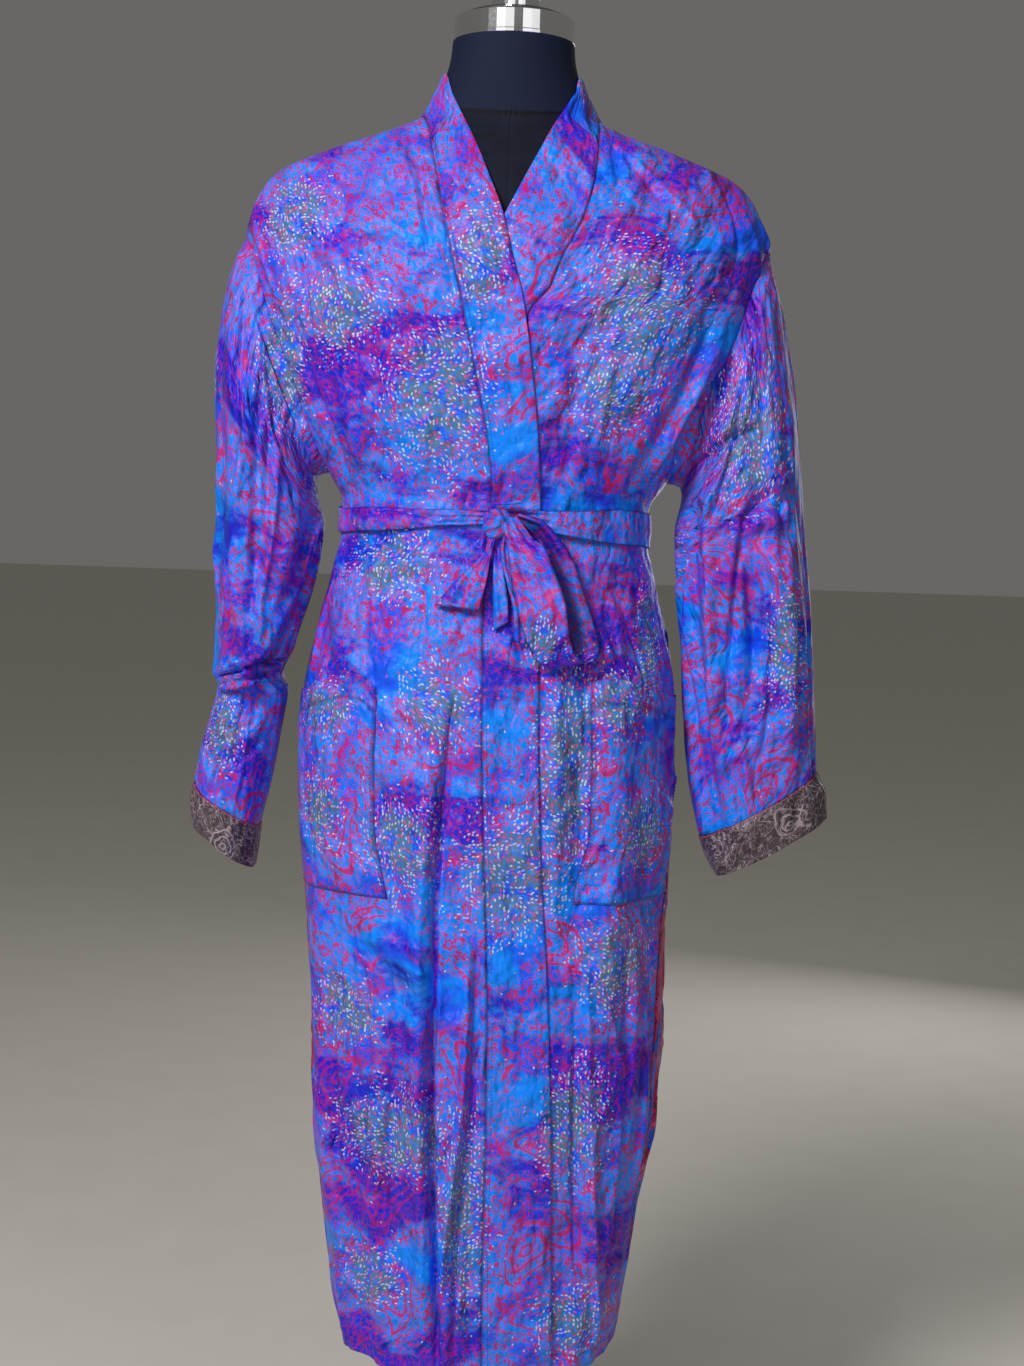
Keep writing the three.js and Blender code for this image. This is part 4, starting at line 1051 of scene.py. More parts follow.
def sleeve_ring(side, turn, row, drop=0.0):
    """A sleeve's bare surface, before its small creases. turn is 0 outside, 90 in front."""
    sign = -1 if side == "right" else 1
    at = sleeve_curves(side)
    out_x, out_z, in_x, in_z, deep, y = (at[name](row) for name in SLEEVE_COLUMNS.split())
    arm_x, arm_z = (out_x - in_x) / 2 * sign, (out_z - in_z) / 2
    long = np.hypot(arm_x, arm_z)
    grown = 1 + sleeve_fold(side, turn, row) / np.maximum(deep, long)
    c, s = np.cos(turn * RAD), np.sin(turn * RAD)
    x = (out_x + in_x) / 2 * sign + arm_x * c * grown
    z = (out_z + in_z) / 2 - drop + arm_z * c * grown
    return np.stack([x, y - s * deep * grown, z], axis=-1)


def armhole_ring(side, turn):
    sign = -1 if side == "right" else 1
    z = ARM_MIDDLE + (ARM_HALF - ARM_SEAT) * np.cos(turn * RAD)
    deep = np.abs(np.sin(turn * RAD)) * (ARM_DEEP - ARM_SEAT)
    front, back = -opening_angle(deep, z, "front"), opening_angle(deep, z, "back")
    angle = sign * (90 + np.where(np.sin(turn * RAD) >= 0, front, back))
    return raised(angle, z, np.zeros(z.shape))


def nearest_turn(side, points):
    """Turns and heights on a sleeve's front for places seen from straight ahead."""
    turns, rows = np.meshgrid(np.linspace(4, 176, 120), np.linspace(1, len(SLEEVES[side]) + 2, 200))
    seen = sleeve_ring(side, turns, rows)
    found = []
    for x, z in points:
        away = (np.abs(seen[..., 0]) - x) ** 2 + (seen[..., 2] - z) ** 2
        i = np.unravel_index(np.argmin(away), away.shape)
        found.append((turns[i] * TURN_STEP, rows[i] * 40.0))
    return found


def turn_height(side, points):
    """Turns and rows for places given by turn and height, on a sleeve's middle line."""
    at = sleeve_curves(side)
    rows = np.linspace(1, len(SLEEVES[side]) + 2, 300)
    middle = (at["outZ"](rows) + at["inZ"](rows)) / 2
    return [(turn * TURN_STEP, float(np.interp(-z, -middle, rows)) * 40.0) for turn, z in points]


def sleeve_creases(side, turn, row):
    px, pz = turn * TURN_STEP, row * 40.0
    px, pz = np.broadcast_arrays(px, pz)
    total = np.zeros(px.shape)
    for points, *rest in SLEEVE_FRONT_CREASES[side]:
        total += polyline_height(px, pz, (nearest_turn(side, points), *rest))
    for points, *rest in SLEEVE_BACK_CREASES:
        total += polyline_height(px, pz, (turn_height(side, points), *rest))
    wave = 0.8 * np.sin(px / 23 + 1.7 * np.sin(pz / 90)) * np.sin(pz / 61 + px / 47)
    return SLEEVE_GAIN * total + wave + SLEEVE_SMALL[side](px, pz)


def sleeve_sheet(side):
    last = len(SLEEVES[side])
    rows = np.concatenate([np.linspace(0, 1, 12), np.linspace(1, last, (last - 1) * ROW_FINE + 1)[1:]])
    turn = np.arange(SLEEVE_TURNS) * 360 / SLEEVE_TURNS
    turns, grid_rows = np.meshgrid(turn, rows)
    points = sleeve_ring(side, turns, np.maximum(grid_rows, 1))
    start = armhole_ring(side, turn)[None, :, :] + np.zeros_like(points)
    blend = smooth(0, 1, grid_rows) * 0.35 + np.clip(grid_rows, 0, 1) * 0.65
    points = mix(start, points, blend[..., None])
    normals = outward_from_rows(points)
    height = 0.5 + sleeve_creases(side, turns, grid_rows) * smooth(0, 1.2, grid_rows)
    height = height - 1.0 * np.exp(-(((last - grid_rows) * 40 / 2.2) ** 2))
    height = height + 1.0 * smooth(0, 0.12, grid_rows) * smooth(0.6, 0.15, grid_rows)
    seam = 0.8 * np.exp(-(((turns - 180) * TURN_STEP / 1.6) ** 2))
    return points + normals * (height - seam)[..., None]


def outward_from_rows(points):
    """Normals of a tube of rings, pointing away from each ring's middle."""
    normals = surface_normals(points, around=True)
    away = points - points.mean(axis=1, keepdims=True)
    flip = np.sign((normals * away).sum(axis=(1, 2), keepdims=True).sum(axis=0, keepdims=True))
    return normals * flip


def cuff_sheet(side):
    last = len(SLEEVES[side])
    rows = np.linspace(last, last + 2, 40)
    turn = np.arange(SLEEVE_TURNS) * 360 / SLEEVE_TURNS
    turns, grid_rows = np.meshgrid(turn, rows)
    points = sleeve_ring(side, turns, grid_rows, drop=CUFF_DROP)
    normals = outward_from_rows(points)
    share = (grid_rows - last) / 2
    height = 1.2 + sleeve_creases(side, turns, grid_rows) * 0.8
    height = height - 1.0 * np.exp(-((share / 0.03) ** 2))
    wave = 1.5 * np.sin(turns * RAD * 3 + 0.6) + 1.1 * np.sin(turns * RAD * 7 + 2.0)
    height = height + wave * share**1.5 * 0.8
    face = points + normals * height[..., None]
    edge = points[-1:] + normals[-1:] * (height[-1:, :, None] - 0.6) + [0, 0, -0.5]
    inner_rows = slice(-1, 12, -1)
    inside = points[inner_rows] + normals[inner_rows] * (height[inner_rows][..., None] - 1.3)
    return np.concatenate([face, edge, inside], axis=0)


# ---- Belt and bow ----------------------------------------------------------------------------
BELT = table("angle low high", [
    [-180, 1083, 1119],
    [-130, 1085, 1118],
    [-90, 1087, 1113],
    [-45, 1089, 1113],
    [-14, 1098, 1114],
    [0, 1100, 1113],
    [16, 1094, 1115],
    [45, 1085, 1118],
    [90, 1080, 1117],
    [130, 1082, 1119],
    [180, 1083, 1119],
])
belt_low = curve(BELT, "angle", "low")
belt_high = curve(BELT, "angle", "high")
BELT_OFF = LAP + BAND_CLOTH + 1.2
BELT_OFF_SIDES = CLOTH + 1.2


def off_front(x, z, off):
    angle = angle_at_x(x, z)
    height = np.broadcast_to(np.asarray(BELT_OFF + off, float), np.shape(angle))
    return body_base(angle, z) + outward(angle, z) * height[..., None]


def pressed_section(count):
    """A pressed tube's section: shares across it, and -1 to 1 through it."""
    across = (1 - np.cos(np.linspace(0, math.pi, count))) / 2
    round_off = np.sqrt(np.clip(1 - (2 * across - 1) ** 8, 0, 1))
    share = np.concatenate([across, across[-2:0:-1]])
    through = np.concatenate([round_off, -round_off[-2:0:-1]])
    return share, through


def belt_sheet():
    angle = np.linspace(-180, 180, 361)[:-1]
    share, through = pressed_section(22)
    angles, shares = np.meshgrid(angle, share)
    thick = through[:, None] * BELT_CLOTH / 2
    near = np.exp(-((angles / 17) ** 2))
    pleat = 1.5 * near * np.cos(shares * math.pi * 6 + angles / 14)
    lines = 0.5 * (1 - near) * np.cos(shares * math.pi * 2.6 + angles / 31 + 0.8 * np.sin(angles / 19))
    low = belt_low(angles) + 0.8 * np.sin(angles / 9.3) * (1 - near)
    high = belt_high(angles) + 0.9 * np.sin(angles / 7.7 + 1) * (1 - near)
    z = mix(low, high, shares)
    gate = smooth(-62, -44, angles) * smooth(46, 26, angles)
    base = mix(BELT_OFF_SIDES, BELT_OFF, gate) + BELT_CLOTH / 2
    bend = (pleat + lines) * np.where(through[:, None] > 0, 1.0, 0.5)
    height = base + thick + np.maximum(bend, -0.6)
    return body_base(angles, z) + outward(angles, z) * height[..., None], shares


RIBBON_COLUMNS = "x1 z1 off1 x2 z2 off2"
RIBBONS = {
    "bow_loop": [
        [3, 1105, 13, 18, 1109, 14],
        [7, 1090, 17, 30, 1091, 20],
        [9, 1077, 19, 39, 1077, 25],
        [14, 1044, 22, 54, 1044, 29],
        [21, 1013, 22, 62, 1019, 30],
        [30, 984, 19, 67, 992, 27],
        [43, 963, 13, 73, 973, 22],
        [57, 958, 7.5, 87, 965, 16],
        [67, 966, 4, 99, 975, 10],
        [63, 990, 3, 97, 992, 8],
        [54, 1022, 3, 87, 1022, 8],
        [42, 1056, 3.5, 74, 1058, 9],
        [29, 1082, 4, 57, 1090, 10],
        [16, 1096, 5, 40, 1106, 10],
        [6, 1100, 6, 20, 1112, 9],
    ],
    "belt_tail_right": [
        [-6, 1094, 11, 0, 1092, 13],
        [-10, 1071, 9, -5, 1060, 13],
        [-32, 1048, 7, -8, 1042, 12],
        [-58, 1017, 5, -15, 1013, 10],
    ],
    "belt_tail_middle": [
        [-4, 1092, 7, 5, 1092, 9],
        [-3, 1057, 6, 9, 1051, 9],
        [-2, 1025, 5, 13, 1022, 7],
        [0, 994, 4, 14, 1003, 6],
    ],
    "belt_tail_left": [
        [6, 1092, 12, 11, 1092, 9],
        [4, 1068, 13, 16, 1064, 9],
        [11, 1040, 13, 25, 1034, 8],
        [18, 1012, 12, 32, 1004, 6],
        [20, 984, 9, 30, 981, 4],
    ],
    "bow_ear": [
        [-5, 1108, 8, -3, 1104, 13],
        [-6, 1119, 7, -5, 1115, 14],
        [3, 1125, 7, 3, 1121, 15],
        [13, 1127, 7, 13, 1124, 15],
        [23, 1127, 8, 22, 1125, 14],
    ],
}
# Pleats across each ribbon: how many, and how deep at its start, middle and end.
RIBBON_PLEATS = {
    "bow_loop": (2.4, 2.4, 0.8, 2.4),
    "belt_tail_right": (2.2, 1.2, 1.2, 2.0),
    "belt_tail_middle": (1.6, 1.2, 1.0, 0.8),
    "belt_tail_left": (1.8, 1.2, 1.0, 0.8),
    "bow_ear": (1.4, 0.8, 0.6, 0.5),
}
RIBBON_THICK = 1.3
RIBBON_FINE = 12


def ribbon_sheet(name):
    rows = RIBBONS[name]
    columns = table(RIBBON_COLUMNS, rows)
    columns["i"] = np.arange(len(rows), dtype=float)
    last = len(rows) - 1
    i = np.linspace(0, last, last * RIBBON_FINE + 1)
    share, through = pressed_section(18)
    steps, shares = np.meshgrid(i, share, indexing="ij")
    x1, z1, off1, x2, z2, off2 = (curve(columns, "i", c)(steps) for c in RIBBON_COLUMNS.split())
    middle = off_front(mix(x1, x2, shares), mix(z1, z2, shares), mix(off1, off2, shares))
    along = np.gradient(middle, axis=0)
    edge_to_edge = off_front(x2, z2, off2) - off_front(x1, z1, off1)
    normal = unit(np.cross(edge_to_edge, along))
    pleats, first, centre, final = RIBBON_PLEATS[name]
    t = steps / last
    deep = np.interp(t, [0, 0.5, 1], [first, centre, final])
    wave = deep * np.cos(shares * math.pi * 2 * pleats + 1.4 * np.sin(3.1 * t + 0.5))
    pinch = np.sqrt(np.clip(np.minimum(t, 1 - t) * last * RIBBON_FINE / 3, 0.0, 1))
    thick = through[None, :] * RIBBON_THICK / 2 * pinch
    return middle + normal * (wave + thick)[..., None], shares


def loop_painted_shade(shares):
    """Painted shade on the inner side of the loop's returning strand, where the loop shades itself."""
    row = np.arange(shares.shape[0])[:, None] / RIBBON_FINE
    return 0.8 * smooth(7.4, 9.0, row) * smooth(0.95, 0.6, shares)


KNOT = {"x": 0.0, "z": 1101.0, "wide": 15.0, "tall": 16.0, "deep": 8.0}


def knot_surface():
    """A clasping lump with the belt's turns wound slantwise over it."""
    centre = off_front(np.array(KNOT["x"]), np.array(KNOT["z"]), BELT_CLOTH + SEAM + KNOT["deep"])
    polar = np.linspace(0, math.pi, 56)
    turn = np.arange(88) * 2 * math.pi / 88
    turns, polars = np.meshgrid(turn, polar)
    x = np.sin(polars) * np.cos(turns)
    y = -np.sin(polars) * np.sin(turns)
    z = np.cos(polars)
    slant = z * 0.8 - x * 0.62 + 0.16 * np.sin(3 * x + 1)
    groove = np.abs(np.sin(slant * 5.2 + 0.7)) ** 0.6
    cross = np.abs(np.sin((z * 0.5 + x * 0.95) * 4.2 + 0.3)) ** 0.7
    wound = np.where(x + 0.5 * z > 0.25, cross, groove)
    size = 0.87 + 0.15 * wound + 0.02 * np.sin(9 * x + 5 * z)
    scale = np.stack([KNOT["wide"] * x, KNOT["deep"] * y, KNOT["tall"] * z], axis=-1)
    # The second value is painted shade in the grooves between the wound turns.
    return centre + scale * size[..., None], np.clip(1 - wound, 0, 1)


# ---- Dress form ------------------------------------------------------------------------------
FORM_ROWS = [
    [FORM_BOTTOM, 170, 170, 122, 124, 2.35],
    [760, 180, 180, 128, 130, 2.35],
    [850, 184, 183, 130, 133, 2.35],
    [930, 180, 178, 126, 130, 2.3],
    [1000, 166, 164, 115, 116, 2.25],
    [1060, 154, 152, 107, 103, 2.2],
    [1105, 148, 147, 104, 96, 2.2],
    [1150, 157, 156, 108, 98, 2.2],
    [1200, 171, 171, 114, 103, 2.25],
    [1250, 182, 182, 119, 108, 2.25],
    [1300, 189, 189, 121, 111, 2.2],
    [1350, 196, 196, 117, 111, 2.15],
    [1390, 204, 204, 108, 107, 2.1],
    [1420, 212, 212, 98, 102, 2.05],
    [1440, 218, 218, 91, 98, 2],
    [1455, 216, 216, 84, 94, 2],
]
REST_DROP = 1
REST_SIDE = 1.1
NECK_ROWS = [[1576, 64, 64, 56, 71, 2], [FORM_TOP, 62.5, 62.5, 55.5, 69.5, 2]]


def form_surface():
    """The form's stretched cover, with its neck seam and its centre seam."""
    rest = [
        [z - REST_DROP, r - REST_SIDE, le - REST_SIDE, f - REST_SIDE, b - REST_SIDE, n]
        for z, r, le, f, b, n in BODY_ROWS
        if 1460 < z <= 1560
    ]
    curves = section_curves(FORM_ROWS + rest + NECK_ROWS)
    z = np.concatenate([
        [FORM_BOTTOM, FORM_BOTTOM],
        np.linspace(FORM_BOTTOM, 1400, 60),
        np.linspace(1404, FORM_TOP, 150),
        [FORM_TOP, FORM_TOP],
    ])
    angle = np.concatenate([np.linspace(-6, 6, 25)[:-1], np.linspace(6, 354, 130)[:-1]])
    angles, heights = np.meshgrid(angle, z)
    points = section_point(curves, angles, heights)
    folded = (angles + 180) % 360 - 180
    neck_seam = 1517 - 5 * np.exp(-((folded / 38) ** 2))
    groove = 0.8 * np.exp(-(((heights - neck_seam) / 1.1) ** 2))
    pucker = 0.25 * np.exp(-(((heights - neck_seam) / 5) ** 2)) * np.sin(angles * 1.9)
    front = 0.5 * np.exp(-((folded * girth_step(heights) / 0.9) ** 2)) * (heights < neck_seam)
    inward = points * [1, 1, 0]
    points = points - unit(inward) * (groove + front + pucker)[..., None]
    points[0], points[-1] = [0, 0, FORM_BOTTOM], [0, 0, FORM_TOP]
    points[1, :, 2] = FORM_BOTTOM
    seam = np.exp(-(((heights - neck_seam) / 1.8) ** 2))
    # The neck mark is painted light: the cover above the neck seam is made lighter than the chest below it, which
    # the robe shades.
    return points, {"seam": seam, "neck": smooth(0, 2, heights - neck_seam)}


# ---- Node trees ------------------------------------------------------------------------------
def srgb(code):
    """A colour code as scene-linear red, green, blue and alpha."""
    parts = [int(code[i : i + 2], 16) / 255 for i in (0, 2, 4)]
    return tuple(p / 12.92 if p <= 0.04045 else ((p + 0.055) / 1.055) ** 2.4 for p in parts) + (1.0,)


class Finish:
    """A material's node tree, written one node at a time."""

    def __init__(self, name):
        self.material = bpy.data.materials.new(name)
        self.material.use_nodes = True
        self.tree = self.material.node_tree
        self.tree.nodes.clear()
        self.shader = self.node("ShaderNodeBsdfPrincipled")
        out = self.node("ShaderNodeOutputMaterial")
        self.tree.links.new(self.shader.outputs["BSDF"], out.inputs["Surface"])

    def node(self, kind, values=None, **settings):
        made = self.tree.nodes.new(kind)
        for name, value in settings.items():
            setattr(made, name, value)
        for key, value in (values or {}).items():
            self.put(made.inputs[key], value)
        return made

    def put(self, socket, value):
        if isinstance(value, bpy.types.NodeSocket):
            self.tree.links.new(value, socket)
        else:
            socket.default_value = value

    def give(self, **values):
        """Sets the shader's own sockets, with _ for a space in a socket's name."""
        for name, value in values.items():
            self.put(self.shader.inputs[name.replace("_", " ")], value)

    def math(self, operation, a, b=0.0, c=0.0, clamp=False):
        made = self.node("ShaderNodeMath", {0: a, 1: b, 2: c}, operation=operation, use_clamp=clamp)
        return made.outputs[0]

    def times(self, a, b):
        return self.math("MULTIPLY", a, b)

    def scaled(self, a, by, plus):
        return self.math("MULTIPLY_ADD", a, by, plus)

    def vector(self, operation, a, b=(0, 0, 0), scale=None):
        made = self.node("ShaderNodeVectorMath", {0: a, 1: b}, operation=operation)
        if scale is not None:
            self.put(made.inputs["Scale"], scale)
        return made.outputs["Vector"]

    def noise(self, vector, scale, detail=2.0, rough=0.5, bend=0.0, shades="Fac", flat=True):
        values = {"Vector": vector, "Scale": scale, "Detail": detail, "Roughness": rough, "Distortion": bend}
        made = self.node("ShaderNodeTexNoise", values, noise_dimensions="2D" if flat else "3D")
        return made.outputs[shades]

    def step(self, value, low, high, to_low=0.0, to_high=1.0):
        values = {"Value": value, "From Min": low, "From Max": high, "To Min": to_low, "To Max": to_high}
        made = self.node("ShaderNodeMapRange", values, interpolation_type="SMOOTHSTEP")
        return made.outputs["Result"]

    def mix(self, factor, a, b, blend="MIX"):
        made = self.node("ShaderNodeMix", {0: factor, 6: a, 7: b}, data_type="RGBA", blend_type=blend)
        return made.outputs[2]

    def cells(self, vector, scale, feature="F1", random=1.0):
        values = {"Vector": vector, "Scale": scale, "Randomness": random}
        return self.node("ShaderNodeTexVoronoi", values, voronoi_dimensions="2D", feature=feature).outputs

    def moved(self, vector, shift=(0, 0, 0), turn=0.0, size=(1, 1, 1)):
        values = {"Vector": vector, "Location": shift, "Rotation": (0, 0, turn), "Scale": size}
        return self.node("ShaderNodeMapping", values).outputs["Vector"]

    def outline(self, field, level, wide):
        """1 on the contour of a field at a level, and 0 further than wide from it."""
        away = self.math("ABSOLUTE", self.math("SUBTRACT", field, level))
        return self.step(away, wide, wide * 0.45)

    def cut_place(self):
        return self.node("ShaderNodeUVMap", uv_map="Cut").outputs["UV"]

    def mark(self, name):
        return self.node("ShaderNodeAttribute", attribute_name=name).outputs["Fac"]

    def object_place(self):
        return self.node("ShaderNodeTexCoord").outputs["Object"]

    def bump(self, height, distance, strength=1.0, under=None):
        values = {"Height": height, "Distance": distance, "Strength": strength}
        if under is not None:
            values["Normal"] = under
        return self.node("ShaderNodeBump", values).outputs["Normal"]


SATIN_TINT = (0.48, 0.45, 1.0, 1.0)
DAB_LONG = 0.0019
DAB_WIDE = 0.001


def bent_place(f, place, scale, amount):
    """A place pushed about by slow noise, so that no printed line runs straight."""
    push = f.vector("SUBTRACT", f.noise(place, scale, 3.0, shades="Color"), (0.5, 0.5, 0.5))
    return f.vector("ADD", place, f.vector("SCALE", push, scale=amount))


def teardrops(f, place, scale, pitch, reach):
    """Nested teardrop outlines, one in each cell, each turned its own way."""
    cell = f.cells(place, scale, random=0.75)
    local = f.vector("SUBTRACT", place, cell["Position"])
    chance = f.node("ShaderNodeSeparateColor", {0: cell["Color"]}).outputs[0]
    angle = f.times(chance, 2 * math.pi)
    turned = f.node("ShaderNodeVectorRotate", {"Vector": local, "Angle": angle}, rotation_type="Z_AXIS")
    parts = f.node("ShaderNodeSeparateXYZ", {0: turned.outputs[0]}).outputs
    tail = f.times(f.times(parts[1], parts[1]), 9.0)
    x = f.math("ADD", parts[0], tail)
    narrow = f.scaled(parts[1], 13.0, 1.1)
    x = f.times(x, f.math("MAXIMUM", narrow, 0.5))
    y = f.times(parts[1], 0.62)
    far = f.math("SQRT", f.math("ADD", f.times(x, x), f.times(y, y)))
    bands = f.math("FRACT", f.math("DIVIDE", far, pitch))
    line = f.outline(bands, 0.5, 0.2)
    inside = f.times(f.step(far, reach, reach * 0.9), f.step(chance, 0.5, 0.54))
    return f.times(line, inside)


def flowers(f, place, scale, pitch, reach):
    """Small ringed flowers with five petals."""
    cell = f.cells(place, scale, random=0.9)
    local = f.vector("SUBTRACT", place, cell["Position"])
    parts = f.node("ShaderNodeSeparateXYZ", {0: local}).outputs
    round_it = f.math("ARCTAN2", parts[1], parts[0])
    petals = f.scaled(f.math("COSINE", f.times(round_it, 5.0)), 0.2, 1.0)
    length = f.node("ShaderNodeVectorMath", {0: local}, operation="LENGTH").outputs["Value"]
    far = f.times(length, petals)
    line = f.outline(f.math("FRACT", f.math("DIVIDE", far, pitch)), 0.5, 0.22)
    chance = f.node("ShaderNodeSeparateColor", {0: cell["Color"]}).outputs[0]
    shown = f.times(f.step(far, reach, reach * 0.85), f.step(chance, 0.5, 0.54))
    return f.times(line, shown)


def grain_dabs(f, place, density, colours):
    """Rice-grain dabs: how much each place is covered, and their colours."""
    cell = f.cells(place, 245.0, random=0.9)
    chances = f.node("ShaderNodeSeparateColor", {0: cell["Color"]}).outputs
    local = f.vector("SUBTRACT", place, cell["Position"])
    lean = f.times(f.noise(place, 13.0, 1.0), 9.0)
    angle = f.scaled(chances[2], 0.9, lean)
    turned = f.node("ShaderNodeVectorRotate", {"Vector": local, "Angle": angle}, rotation_type="Z_AXIS")
    sized = f.vector("MULTIPLY", turned.outputs[0], (1 / DAB_LONG, 1 / DAB_WIDE, 0))
    far = f.node("ShaderNodeVectorMath", {0: sized}, operation="LENGTH").outputs["Value"]
    dab = f.step(far, 1.05, 0.75)
    shown = f.step(f.math("SUBTRACT", density, chances[1]), -0.02, 0.04)
    pale = f.mix(chances[2], colours.cream, colours.lavender)
    cream_or_pink = f.mix(f.step(chances[0], 0.4, 0.42), pale, colours.pink)
    shade = f.mix(f.step(chances[0], 0.68, 0.7), cream_or_pink, colours.azure)
    return f.times(dab, shown), shade


def silk_print(f, place, colours):
    """The robe's print: cloudy blues under red filigree, teardrops, flowers and grain dabs."""
    bent = bent_place(f, place, 9.0, 0.05)
    streaked = f.moved(bent, size=(0.42, 1.0, 1.0))
    cloud = f.noise(streaked, 11.0, 4.0, 0.6)
    ragged = f.noise(f.moved(place, size=(0.5, 1.0, 1.0)), 150.0, 2.0, 0.7)
    cloud_edge = f.scaled(f.math("SUBTRACT", ragged, 0.5), 0.12, cloud)
    dark = f.step(cloud_edge, 0.51, 0.62)
    light = f.step(f.noise(f.moved(bent, shift=(3.1, 1.7, 0)), 19.0, 3.0), 0.36, 0.52)
    azure = f.mix(light, colours.blue, colours.azure)
    ground = f.mix(f.times(dark, 0.92), azure, colours.indigo)

    field = f.noise(f.moved(streaked, shift=(7.3, 2.9, 0)), 11.0, 3.0, 0.6)
    lines_here = f.step(field, 0.36, 0.46)
    dense_here = f.step(field, 0.56, 0.68)
    drawn = bent_place(f, place, 40.0, 0.012)
    squiggle = f.noise(drawn, 105.0, 1.2, 0.5, 0.7)
    first = f.outline(squiggle, 0.5, 0.0245)
    second = f.outline(squiggle, 0.61, 0.0245)
    flecks = f.step(f.noise(drawn, 210.0, 1.0, 0.5, 0.4), 0.64, 0.68)
    coarse = f.outline(f.noise(drawn, 44.0, 1.6, 0.5, 0.9), 0.5, 0.02)
    blots = f.step(f.noise(drawn, 88.0, 2.0, 0.6), 0.67, 0.69)
    drops = teardrops(f, bent_place(f, place, 30.0, 0.012), 11.5, 0.0095, 0.034)
    blooms = flowers(f, bent_place(f, place, 40.0, 0.008), 33.0, 0.0078, 0.012)
    fine = f.math("MAXIMUM", f.times(first, lines_here), f.times(second, dense_here))
    figures = f.math("MAXIMUM", f.math("MAXIMUM", drops, blooms), coarse)
    figures = f.times(figures, f.step(field, 0.34, 0.42))
    blots = f.times(f.math("MAXIMUM", blots, flecks), lines_here)
    lines = f.math("MAXIMUM", f.math("MAXIMUM", fine, figures), blots)
    ground = f.mix(f.times(dense_here, 0.25), ground, colours.violet)
    inked = f.times(lines, f.scaled(dark, -0.35, 0.88))
    printed = f.mix(inked, ground, colours.crimson)

    broken = f.math("SUBTRACT", f.noise(place, 42.0, 3.0, 0.65), 0.5)
    gathered = f.scaled(broken, 0.9, f.mark("grain"))
    density = f.step(gathered, 0.1, 0.52)
    teal = f.times(f.step(gathered, 0.4, 0.8), 0.9)
    teal_shade = f.mix(f.step(f.noise(place, 60.0, 2.0), 0.45, 0.7), colours.teal, colours.blue)
    printed = f.mix(teal, printed, teal_shade)
    dab, shade = grain_dabs(f, place, density, colours)
    return f.mix(dab, printed, shade)


def side_border(f, place, colours):
    """The dense red border printed along the back panel's sides."""
    bent = bent_place(f, place, 40.0, 0.012)
    field = f.noise(bent, 44.0, 2.0, 0.5, 1.2)
    inked = f.math("MAXIMUM", f.outline(field, 0.45, 0.03), f.outline(field, 0.58, 0.03))
    drops = teardrops(f, bent, 22.0, 0.006, 0.02)
    inked = f.math("MAXIMUM", inked, drops)
    fill = f.mix(f.step(f.noise(bent, 20.0, 1.0), 0.52, 0.56), colours.crimson, colours.blue)
    fill = f.mix(f.step(f.noise(bent, 31.0, 1.0), 0.6, 0.64), fill, colours.pink)
    return f.mix(inked, fill, colours.ink_and_painted_shade)


def satin(f, place, crumple):
    """The cloth's surface: crumples with sharp ridges, soft hollows and a fine satin weave."""
    wrung = bent_place(f, place, 6.0, 0.05)
    length = f.noise(f.moved(wrung, size=(1.0, 0.3, 1.0)), 24.0, 2.0, 0.5)
    across = f.noise(f.moved(wrung, turn=1.1, size=(1.0, 0.4, 1.0)), 30.0, 2.0, 0.5)
    ridges = f.math("ABSOLUTE", f.math("SUBTRACT", length, 0.5))
    ridges = f.math("ADD", ridges, f.math("ABSOLUTE", f.math("SUBTRACT", across, 0.5)))
    soft = f.noise(place, 17.0, 3.0, 0.5)
    small = f.noise(f.moved(place, size=(1.0, 0.55, 1.0)), 95.0, 3.0, 0.55)
    weave = f.noise(f.moved(place, size=(0.3, 1.0, 1.0)), 2600.0, 1.0)
    normal = f.bump(soft, 0.03, crumple)
    normal = f.bump(ridges, 0.011, crumple, normal)
    normal = f.bump(small, 0.003, crumple, normal)
    return f.bump(weave, 0.0002, 0.4, normal), weave


def print_silk(colours, sizes):
    f = Finish("robe_print")
    place = f.cut_place()
    printed = silk_print(f, place, colours)
    printed = f.mix(f.mark("border"), printed, side_border(f, place, colours))
    # Darkens towards the ink colour: painted shade at seams, pocket edges, the knot's grooves and inside the bow's
    # loop, and the dark edges of the belt and its ribbons.
    printed = f.mix(f.times(f.mark("dark_edge_and_painted_shade"), 0.75), printed, colours.ink_and_painted_shade)
    normal, weave = satin(f, place, sizes.crumple)
    f.give(Base_Color=printed, Normal=normal, Metallic=0.0)
    f.give(Roughness=f.scaled(weave, 0.1, 0.36))
    f.shader.inputs["Specular Tint"].default_value = SATIN_TINT
    f.shader.inputs["Sheen Weight"].default_value = 0.02
    f.shader.inputs["Sheen Roughness"].default_value = 0.4
    f.shader.inputs["Sheen Tint"].default_value = colours.lavender
    f.shader.inputs["Specular IOR Level"].default_value = 0.5
    f.shader.inputs["Anisotropic"].default_value = 0.4
    return f.material


def cuff_silk(colours, sizes):
    f = Finish("cuff_print")
    place = f.cut_place()
    bent = bent_place(f, place, 40.0, 0.01)
    drops = teardrops(f, bent, 24.0, 0.0048, 0.017)
    scroll = f.outline(f.noise(bent, 70.0, 1.5, 0.5, 1.4), 0.5, 0.03)
    thin = f.outline(f.noise(bent, 150.0, 1.0), 0.5, 0.03)
    drawn = f.math("MAXIMUM", drops, f.math("MAXIMUM", scroll, f.times(thin, 0.45)))
    shade = f.mix(f.noise(place, 30.0, 3.0), colours.cuff, colours.cuff_dark)
    printed = f.mix(f.times(drawn, 0.7), shade, colours.mauve)
    normal, weave = satin(f, place, sizes.crumple)
    f.give(Base_Color=printed, Normal=normal, Metallic=0.0)
    f.give(Roughness=f.scaled(weave, 0.1, 0.42))
    f.shader.inputs["Sheen Weight"].default_value = 0.08
    f.shader.inputs["Sheen Tint"].default_value = colours.lavender
    return f.material


